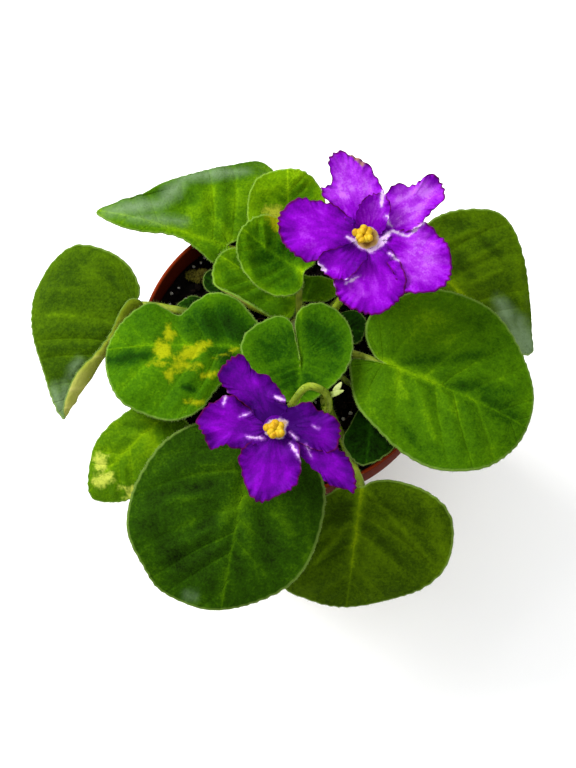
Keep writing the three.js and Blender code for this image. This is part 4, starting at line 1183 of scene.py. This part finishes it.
# %% Colours and surfaces of the blooms
PETAL_SKIN = {"IOR": 1.4, "Roughness": 0.6, "Specular IOR Level": 0.04}
ANTHER_SKIN = {"IOR": 1.45, "Roughness": 0.5, "Specular IOR Level": 0.15, "Subsurface Weight": 0.15,
               "Subsurface Radius": (0.001, 0.0006, 0.0002)}
VIOLET = ((0.0, "#2c0050"), (0.25, "#47006f"), (0.45, "#5c0088"), (0.65, "#7402a4"), (0.85, "#8d2ab8"),
          (1.0, "#a256c4"))
THROAT = ((0.0, "#6a4718"), (0.45, "#a07f48"), (0.75, "#b59ea0"), (1.0, "#ac84b8"))
GOLD = ((0.25, "#7a4c00"), (0.5, "#b08606"), (0.8, "#c0a420"))
STALK = ((0.3, "#566a06"), (0.6, "#7c8e1c"), (0.9, "#a0ac4c"))
BRACT = ((0.3, "#748433"), (0.7, "#a0a86c"))


# %% Petal tissue
def petal_material():
    """Petal tissue: violet satin with radial mottling, a dark rim, a cream throat and flashes."""
    material, add = start_material("petal_violet_tissue", PETAL_SKIN)
    space = add("TexCoord", out=3)
    fan, reach, tone, rim, pale, brown = (
        add("Attribute", out=2, attribute_name=mark)
        for mark in ("fan", "reach", "tone", "rim", "pale", "brown"))
    # Streaks 1.2 mm wide at 10 mm from the middle and 4 mm long, apart from one lobe to the next
    across = add("Math", fan, 10 / 1.2, operation="MULTIPLY")
    out_along = add("Math", reach, 1 / 4, operation="MULTIPLY")
    lobe = add("Math", tone, 40.0, operation="MULTIPLY")
    streak = add("TexNoise", add("CombineXYZ", across, out_along, lobe), 1.0, 3.0)
    # Clouds of 5 mm, and domed cells of 0.05 mm, drawn at 0.5 mm so that they show
    cloud = add("TexNoise", space, 1 / (5 * MM), 4.0, 0.55)
    cells = add("TexNoise", space, 1 / (0.5 * MM), 2.0)
    swings = ((streak, 0.12), (cloud, 0.1), (cells, 0.06))
    lights = [add("MapRange", noise, 0.3, 0.7, -swing, swing) for noise, swing in swings]
    lights.append(add("MapRange", reach, 3.0, 14.0, -0.26, 0.14))
    lights.append(add("MapRange", rim, 0.55, 0.95, -0.02, -0.22))
    for light in lights:
        tone = add("Math", tone, light, operation="ADD")
    colour = add("ValToRGB", tone, stops=VIOLET)
    # The dark reddish line, 0.4 mm wide, on the outer margin only
    line = add("MapRange", rim, 0.925, 0.98, 0.0, 0.85, **SMOOTH)
    free = add("MapRange", reach, 6.0, 10.0, **SMOOTH)
    edge = add("Math", line, free, operation="MULTIPLY")
    colour = add("Mix", edge, colour, srgb("#4a0434"), data_type="RGBA")
    # White flashes in a lilac halo, and the browned, torn edge, all ragged
    tatter = add("TexNoise", space, 1 / (1.2 * MM), 4.0, 0.6)
    pale = add("Math", tatter, 1.8, pale, operation="MULTIPLY_ADD")
    brown = add("Math", tatter, 1.6, brown, operation="MULTIPLY_ADD")
    colour = overlay(add, colour, srgb("#9c50bc"), pale, EDGE + 0.2, EDGE + 1.2, 0.5)
    colour = overlay(add, colour, srgb("#bba0c6"), pale, EDGE + 0.8, EDGE + 1.4, 0.95)
    colour = overlay(add, colour, srgb("#8a6450"), brown, EDGE + 0.5, EDGE + 1.1, 0.9)
    # The throat: cream to some 3 mm from the middle, with a ragged edge
    inner = add("Math", cloud, 6.0, reach, operation="MULTIPLY_ADD")
    cream = add("ValToRGB", add("MapRange", inner, 3.8, 6.2), stops=THROAT)
    colour = overlay(add, colour, cream, inner, 6.2, 5.2, 1.0)
    height = add("Math", streak, 1.5, cells, operation="MULTIPLY_ADD")
    return end_material(material, colour, height, 0.07)


# %% Both blooms
# Anther skin is waxy and golden, in blotches of 1.8 mm, and grainy with pollen in clumps of 0.3 mm.
# Flower stalks are as juicy as petioles. Bracts are paler, in blotches of 2 mm.
PETAL_SKINS = [petal_material()]
GOLD_SKINS = [speckled("anther_golden_pollen", ANTHER_SKIN, GOLD, 1.8, 0.3, 0.12, own_tone=0.2)]
STALK_SKINS = [speckled("flower_stalk_green_skin", JUICY_SKIN, STALK, 4, STALK_GRAIN, STALK_RELIEF),
               LEAF_SKINS[HAIR_SKIN],
               speckled("bract_pale_green_skin", JUICY_SKIN, BRACT, 2, STALK_GRAIN, STALK_RELIEF)]
for name, bloom in BLOOMS.items():
    make_corolla(name, bloom, PETAL_SKINS)
    make_anthers(name, bloom, GOLD_SKINS)
    make_stalk(name, bloom, STALK_SKINS)

# %% [markdown]
# ## The pot
# A thin nursery pot is drawn or moulded from coloured plastic: a tapered cup, a stepped lip band
# that stiffens the rim, and drain holes in the floor. A screw modifier could spin its profile; here
# the same is done with points, its corners rounded, and the holes are cut with a boolean.

# %% Pot
POT_PROFILE = ((0, 0), (29.5, 0), (30, 0.5), (40.44, 63), (44.44, 63.5), (45, 74.5), (44.5, 75),
               (43.8, 74.5), (43.6, 64.46), (39.24, 63.96), (28.8, 1.2), (0, 1.2))
POT_SIDES = 160
CORNER = 0.5
DRAIN_COUNT, DRAIN_RADIUS, DRAIN_RING = 6, 3, 19
DRILL = ((0, -2), (DRAIN_RADIUS, -2), (DRAIN_RADIUS, 3), (0, 3))
MOULDED_PLASTIC = {"IOR": 1.49, "Roughness": 0.6, "Specular IOR Level": 0.01}
TERRACOTTA_BROWN = ((0.2, "#3a1005"), (0.5, "#4a1506"), (0.8, "#591c0a"))


def round_corners(profile, cut, steps=4):
    """The profile with each inner corner replaced by a short curve."""
    p = [np.array(q, float) for q in profile]
    smooth = [p[0]]
    for a, b, c in zip(p, p[1:], p[2:]):
        start = b + unit(a - b) * min(cut, np.linalg.norm(b - a) * 0.45)
        end = b + unit(c - b) * min(cut, np.linalg.norm(c - b) * 0.45)
        for t in np.linspace(0, 1, steps):
            smooth.append((1 - t) ** 2 * start + 2 * t * (1 - t) * b + t ** 2 * end)
    return smooth + [p[-1]]


def plastic_material():
    """Moulded polypropylene, IOR 1.49: terracotta brown, faintly cloudy, matt grain, a painted highlight
    on the lip.
    """
    material, add = start_material("moulded_brown_polypropylene", MOULDED_PLASTIC)
    space = add("TexCoord", out=3)
    # The melt flowed in clouds of 30 mm. Dust lies in specks, and the mould's grain is a tenth of a
    # millimetre; they are drawn at 1.5 and 0.8 mm so that they show.
    flow = add("TexNoise", space, 1 / (30 * MM), 3.0)
    dust = add("TexNoise", space, 1 / (1.5 * MM), 3.0)
    tone = add("Math", dust, 0.3, flow, operation="MULTIPLY_ADD")
    tone = add("Math", tone, 0.15, operation="SUBTRACT")
    colour = add("ValToRGB", tone, stops=TERRACOTTA_BROWN)
    # A painted highlight runs round the top of the lip, where its edge catches the light
    height = add("SeparateXYZ", space, out=2)
    colour = overlay(add, colour, srgb("#7d2c10"), height, 74.2 * MM, 74.9 * MM, 0.8)
    return end_material(material, colour, add("TexNoise", space, 1 / (0.8 * MM)), 0.04)


pot_shells = Shells()
pot_shells.add(*turned(round_corners(POT_PROFILE, CORNER), POT_SIDES))
pot = pot_shells.finish("nursery_pot", [plastic_material()], ["pot"])

# %% Drain holes
drill_shells = Shells()
for spin in circle(DRAIN_COUNT) + math.pi / DRAIN_COUNT:
    drill, drill_faces = turned(DRILL, 40)
    drill_shells.add(drill + DRAIN_RING * np.array([math.cos(spin), math.sin(spin), 0]), drill_faces)
drills = in_scene("drills", drill_shells.mesh("drills"))
cut = pot.modifiers.new("drain_holes", "BOOLEAN")
cut.operation, cut.solver, cut.object = "DIFFERENCE", "EXACT", drills
bpy.context.view_layer.update()
pot.data = bpy.data.meshes.new_from_object(pot.evaluated_get(bpy.context.evaluated_depsgraph_get()))
pot.modifiers.clear()
bpy.data.objects.remove(drills)
print("pot faces:", len(pot.data.polygons))

# %% [markdown]
# ## Soil, perlite and moss
# The mix is dark peat: crumbs, fibres and white perlite grains, with a cushion of moss at the back
# left. Bits could be instances of a few models, but instances stay behind when the piece is
# exported, so each is a small solid of its own, laid on a ground surface that is a rough sheet.

# %% Soil
SOIL_LEVEL, SOIL_RADIUS, SOIL_FLOOR = 66.3, 43.15, 1.5
SOIL_SIDES = ((SOIL_RADIUS, 64.76), (38.79, 64.26), (28.35, SOIL_FLOOR))
CLOD_HEIGHT, MOUND_HEIGHT, ROUGH_HEIGHT = 0.5, 1.5, 1.1
HOLE_RADIUS, HOLE_FLOOR = 4.5, 53.7
SOIL_AROUND, SOIL_RINGS = 200, 52


def soil_height(x, y):
    """The ground's level in mm, with its clods and the low mound round the crown."""
    clods = np.sin(x * 0.31 + 1) * np.sin(y * 0.37 + 2) + 0.6 * np.sin(x * 0.9) * np.sin(y * 0.8)
    mound = MOUND_HEIGHT * np.exp(-((x - CROWN_X) ** 2 + (y - CROWN_Y) ** 2) / 250)
    return SOIL_LEVEL + mound + CLOD_HEIGHT * clods


def roughness_at(flat):
    """Small lumps of the ground."""
    return np.array([turbulence(Vector((x * 0.9, y * 0.9, 3.0)), 4, False) for x, y in flat]) - 0.5


def soil_body():
    """The filled volume: a blind hole for the crown, the rough top, the sides and the bottom."""
    spin = circle(SOIL_AROUND)
    ring = np.column_stack([np.cos(spin), np.sin(spin)])
    hole = np.array([CROWN_X, CROWN_Y]) + HOLE_RADIUS * ring
    rings = [np.column_stack([hole, np.full(SOIL_AROUND, HOLE_FLOOR)])]
    for share in np.linspace(0, 1, SOIL_RINGS):
        flat = (1 - share) * hole + share * SOIL_RADIUS * ring
        fade = min(1, share * 12, (1 - share) * 12)
        level = soil_height(flat[:, 0], flat[:, 1]) + ROUGH_HEIGHT * fade * roughness_at(flat)
        rings.append(np.column_stack([flat, level]))
    for radius, z in SOIL_SIDES:
        rings.append(np.column_stack([radius * ring, np.full(SOIL_AROUND, z)]))
    points, faces = closed_body(rings, (0, 0, SOIL_FLOOR), (CROWN_X, CROWN_Y, HOLE_FLOOR))
    return points, flipped(faces)


# %% Loose bits on the soil
CRUMBS, FIBRES, MORE_PERLITE = 1500, 70, 30
FIBRE_RADIUS = 0.14
CROWN_ROOM = 7
# A whole turn, for random headings
ANY_TURN = 6.28
PEAT_SKIN, FIBRE_SKIN, PERLITE_SKIN, MOSS_SKIN = range(4)
PERLITE = ((-36, 20.5), (-33.8, 22.5), (-29.3, 29.4), (-27.2, 31), (-27.4, 27.8), (-36.4, 16.9),
           (-26, 32.4), (-31.6, 18.5))


def crumb(size):
    """A small angular grain with its own random shape."""
    points, faces = ball(7, 5)
    points = points * size * (0.7 + 0.6 * DRAW.random((len(points), 1)))
    return turn_z(points, ANY_TURN * DRAW.random()), faces


def ground_spot(reach=41.0):
    """A random place on the ground, clear of the crown."""
    while True:
        x, y = reach * (2 * DRAW.random(2) - 1)
        if math.hypot(x, y) < reach and math.hypot(x - CROWN_X, y - CROWN_Y) > CROWN_ROOM:
            return np.array([x, y, soil_height(x, y)])


soil_shells = Shells()
soil_shells.add(*soil_body(), PEAT_SKIN)
for _ in range(CRUMBS):
    points, faces = crumb(0.35 + 0.9 * DRAW.random() ** 2)
    soil_shells.add(points * (1, 1, 0.7) + ground_spot(), faces, PEAT_SKIN, tone=DRAW.random())
for _ in range(FIBRES):
    start, angle = ground_spot(38.0), ANY_TURN * DRAW.random()
    way = np.array([math.cos(angle), math.sin(angle), 0])
    bow = np.cross(way, (0, 0, 1)) * DRAW.normal() + np.array([0, 0, 0.8])
    reach = 1.5 + 3 * DRAW.random()
    path = smooth_path([start - way * reach, start + bow, start + way * reach], 12)
    soil_shells.add(*tube(path, FIBRE_RADIUS, 5), FIBRE_SKIN)
more = [ground_spot(40.5)[:2] for _ in range(MORE_PERLITE)]
for x, y in [*PERLITE, *more]:
    points, faces = crumb(0.3 + 0.35 * DRAW.random())
    soil_shells.add(points + np.array([x, y, soil_height(x, y) + 0.4]), faces, PERLITE_SKIN)

# %% Moss
MOSS_X, MOSS_Y, MOSS_HEIGHT = -28, 26, 1.6
MOSS_SIZE = np.array([3.8, 2.7, MOSS_HEIGHT])
MOSS_TUFTS = ((-1.5, 0.2, 0.65), (1.4, 0.9, 0.5), (0.3, -0.6, 0.6))
MOSS_LEAFLETS, LEAFLET_WIDTH = 400, 0.32

for x, y, share in MOSS_TUFTS:
    cushion, cushion_faces = ball(32, 18)
    lumpy = share * (1 + 0.15 * np.sin(7 * cushion[:, :1] + x) * np.sin(9 * cushion[:, 1:2] + y))
    middle = np.array([MOSS_X + x, MOSS_Y + y, soil_height(MOSS_X, MOSS_Y) + 0.3 * MOSS_HEIGHT])
    soil_shells.add(cushion * lumpy * MOSS_SIZE + middle, cushion_faces, MOSS_SKIN)
    spin, reach = ANY_TURN * DRAW.random(MOSS_LEAFLETS), np.sqrt(DRAW.random(MOSS_LEAFLETS))
    out = np.column_stack([reach * np.cos(spin), reach * np.sin(spin), np.sqrt(1 - reach ** 2)])
    ways = out + 0.6 * DRAW.normal(size=out.shape)
    ways[:, 2] = np.abs(ways[:, 2])
    tips = 0.5 + 0.6 * DRAW.random(MOSS_LEAFLETS)
    leaflets = spikes(share * 0.9 * out * MOSS_SIZE + middle, unit(ways), tips, LEAFLET_WIDTH)
    soil_shells.add(*leaflets, MOSS_SKIN, tone=np.repeat(2.4 * tips - 0.6, 4))

# %% Ground materials
# All are dry and matt. Their clumps are 1.4 mm wide on peat, 2 mm on fibres, 1.1 mm on the glass
# foam of perlite and 1.6 mm on moss, with a grain a quarter as wide.
DRY = {"Roughness": 0.9, "Specular IOR Level": 0.05}
PEAT = ((0.3, "#020101"), (0.6, "#090504"), (0.95, "#1a110a"))
FIBRE = ((0.3, "#1a100a"), (0.8, "#3f2c1c"))
PERLITE_WHITE = ((0.3, "#77746c"), (0.6, "#a9a69c"))
MOSS_OLIVE = ((0.3, "#15160a"), (0.6, "#333009"), (0.9, "#6e6824"))
GROUND = (("peat_crumbs", PEAT, 1.4, 0.5), ("peat_fibre", FIBRE, 2, 0.2),
          ("perlite_expanded_glass", PERLITE_WHITE, 1.1, 0.3), ("moss_cushion", MOSS_OLIVE, 1.6, 0.4))
SOIL_SKINS = [speckled(name, DRY, stops, size, size / 4, depth, own_tone=0.25, detail=5.0)
              for name, stops, size, depth in GROUND]
soil_shells.finish("potting_soil", SOIL_SKINS, ["soil"])

# %% [markdown]
# ## The crown
# A short thick stem stands in the mix and carries every leaf and stalk. Old joints leave ringed
# scars, which could be carved one by one. A turned profile that steps in and out a little along its
# height gives them at once, and a slight swelling round it breaks the perfect circle.

# %% Crown
SCAR_DEPTH, SCAR_TURN, SWELL = 0.18, 2.1, 0.025
CROWN_GREEN = ((0.3, "#2c320c"), (0.6, "#545a22"), (0.9, "#7c783e"))

rings = [(4.2 - SCAR_DEPTH * (0.5 + 0.5 * math.cos(SCAR_TURN * z)), z) for z in np.linspace(56, 78, 45)]
foot = [(0, CROWN_FOOT), (3.9, CROWN_FOOT), (4.2, 54.3)]
head = [(3.9, 79.4), (3.36, 81), (2.6, 82.2), (1.68, CROWN_TOP), (0, CROWN_TOP)]
stem, stem_faces = turned(foot + rings + head, 48)
swell = 1 + SWELL * np.sin(3 * np.arctan2(stem[:, 1], stem[:, 0]) + stem[:, 2]) - SWELL
stem[:, :2] *= swell[:, None]
crown_shells = Shells()
crown_shells.add(stem + np.array([CROWN_X, CROWN_Y, 0]), stem_faces)
# Old stem skin is green going to cork, in blotches of 2.4 mm
crown_skin = speckled("crown_woody_green_skin", JUICY_SKIN, CROWN_GREEN, 2.4, STALK_GRAIN, STALK_RELIEF)
crown_shells.finish("crown_stem", [crown_skin], ["crown"])

# %% [markdown]
# ## Floor and the end
# A plain pale floor of matt paper catches the soft shadow. It could be a curved studio backdrop, but
# from this steep view a flat sheet fills the picture.

# %% Floor and finish
# The pulp of paper is a little cloudy, over some 300 mm on a sheet this size
PULP_SIZE = 300
FLOOR_SIZE = 6

floor_material, add = start_material("matt_white_paper", {"Roughness": 0.9, "Specular IOR Level": 0.2})
pulp = add("TexNoise", add("TexCoord", out=3), 1 / (PULP_SIZE * MM))
tint = add("ValToRGB", pulp, stops=((0.3, "#fbfbfb"), (0.7, "#ffffff")))
bpy.ops.mesh.primitive_plane_add(size=FLOOR_SIZE)
floor = bpy.context.object
floor.name = "floor"
floor.data.materials.append(end_material(floor_material, tint, pulp, 0.1))

bpy.context.view_layer.update()
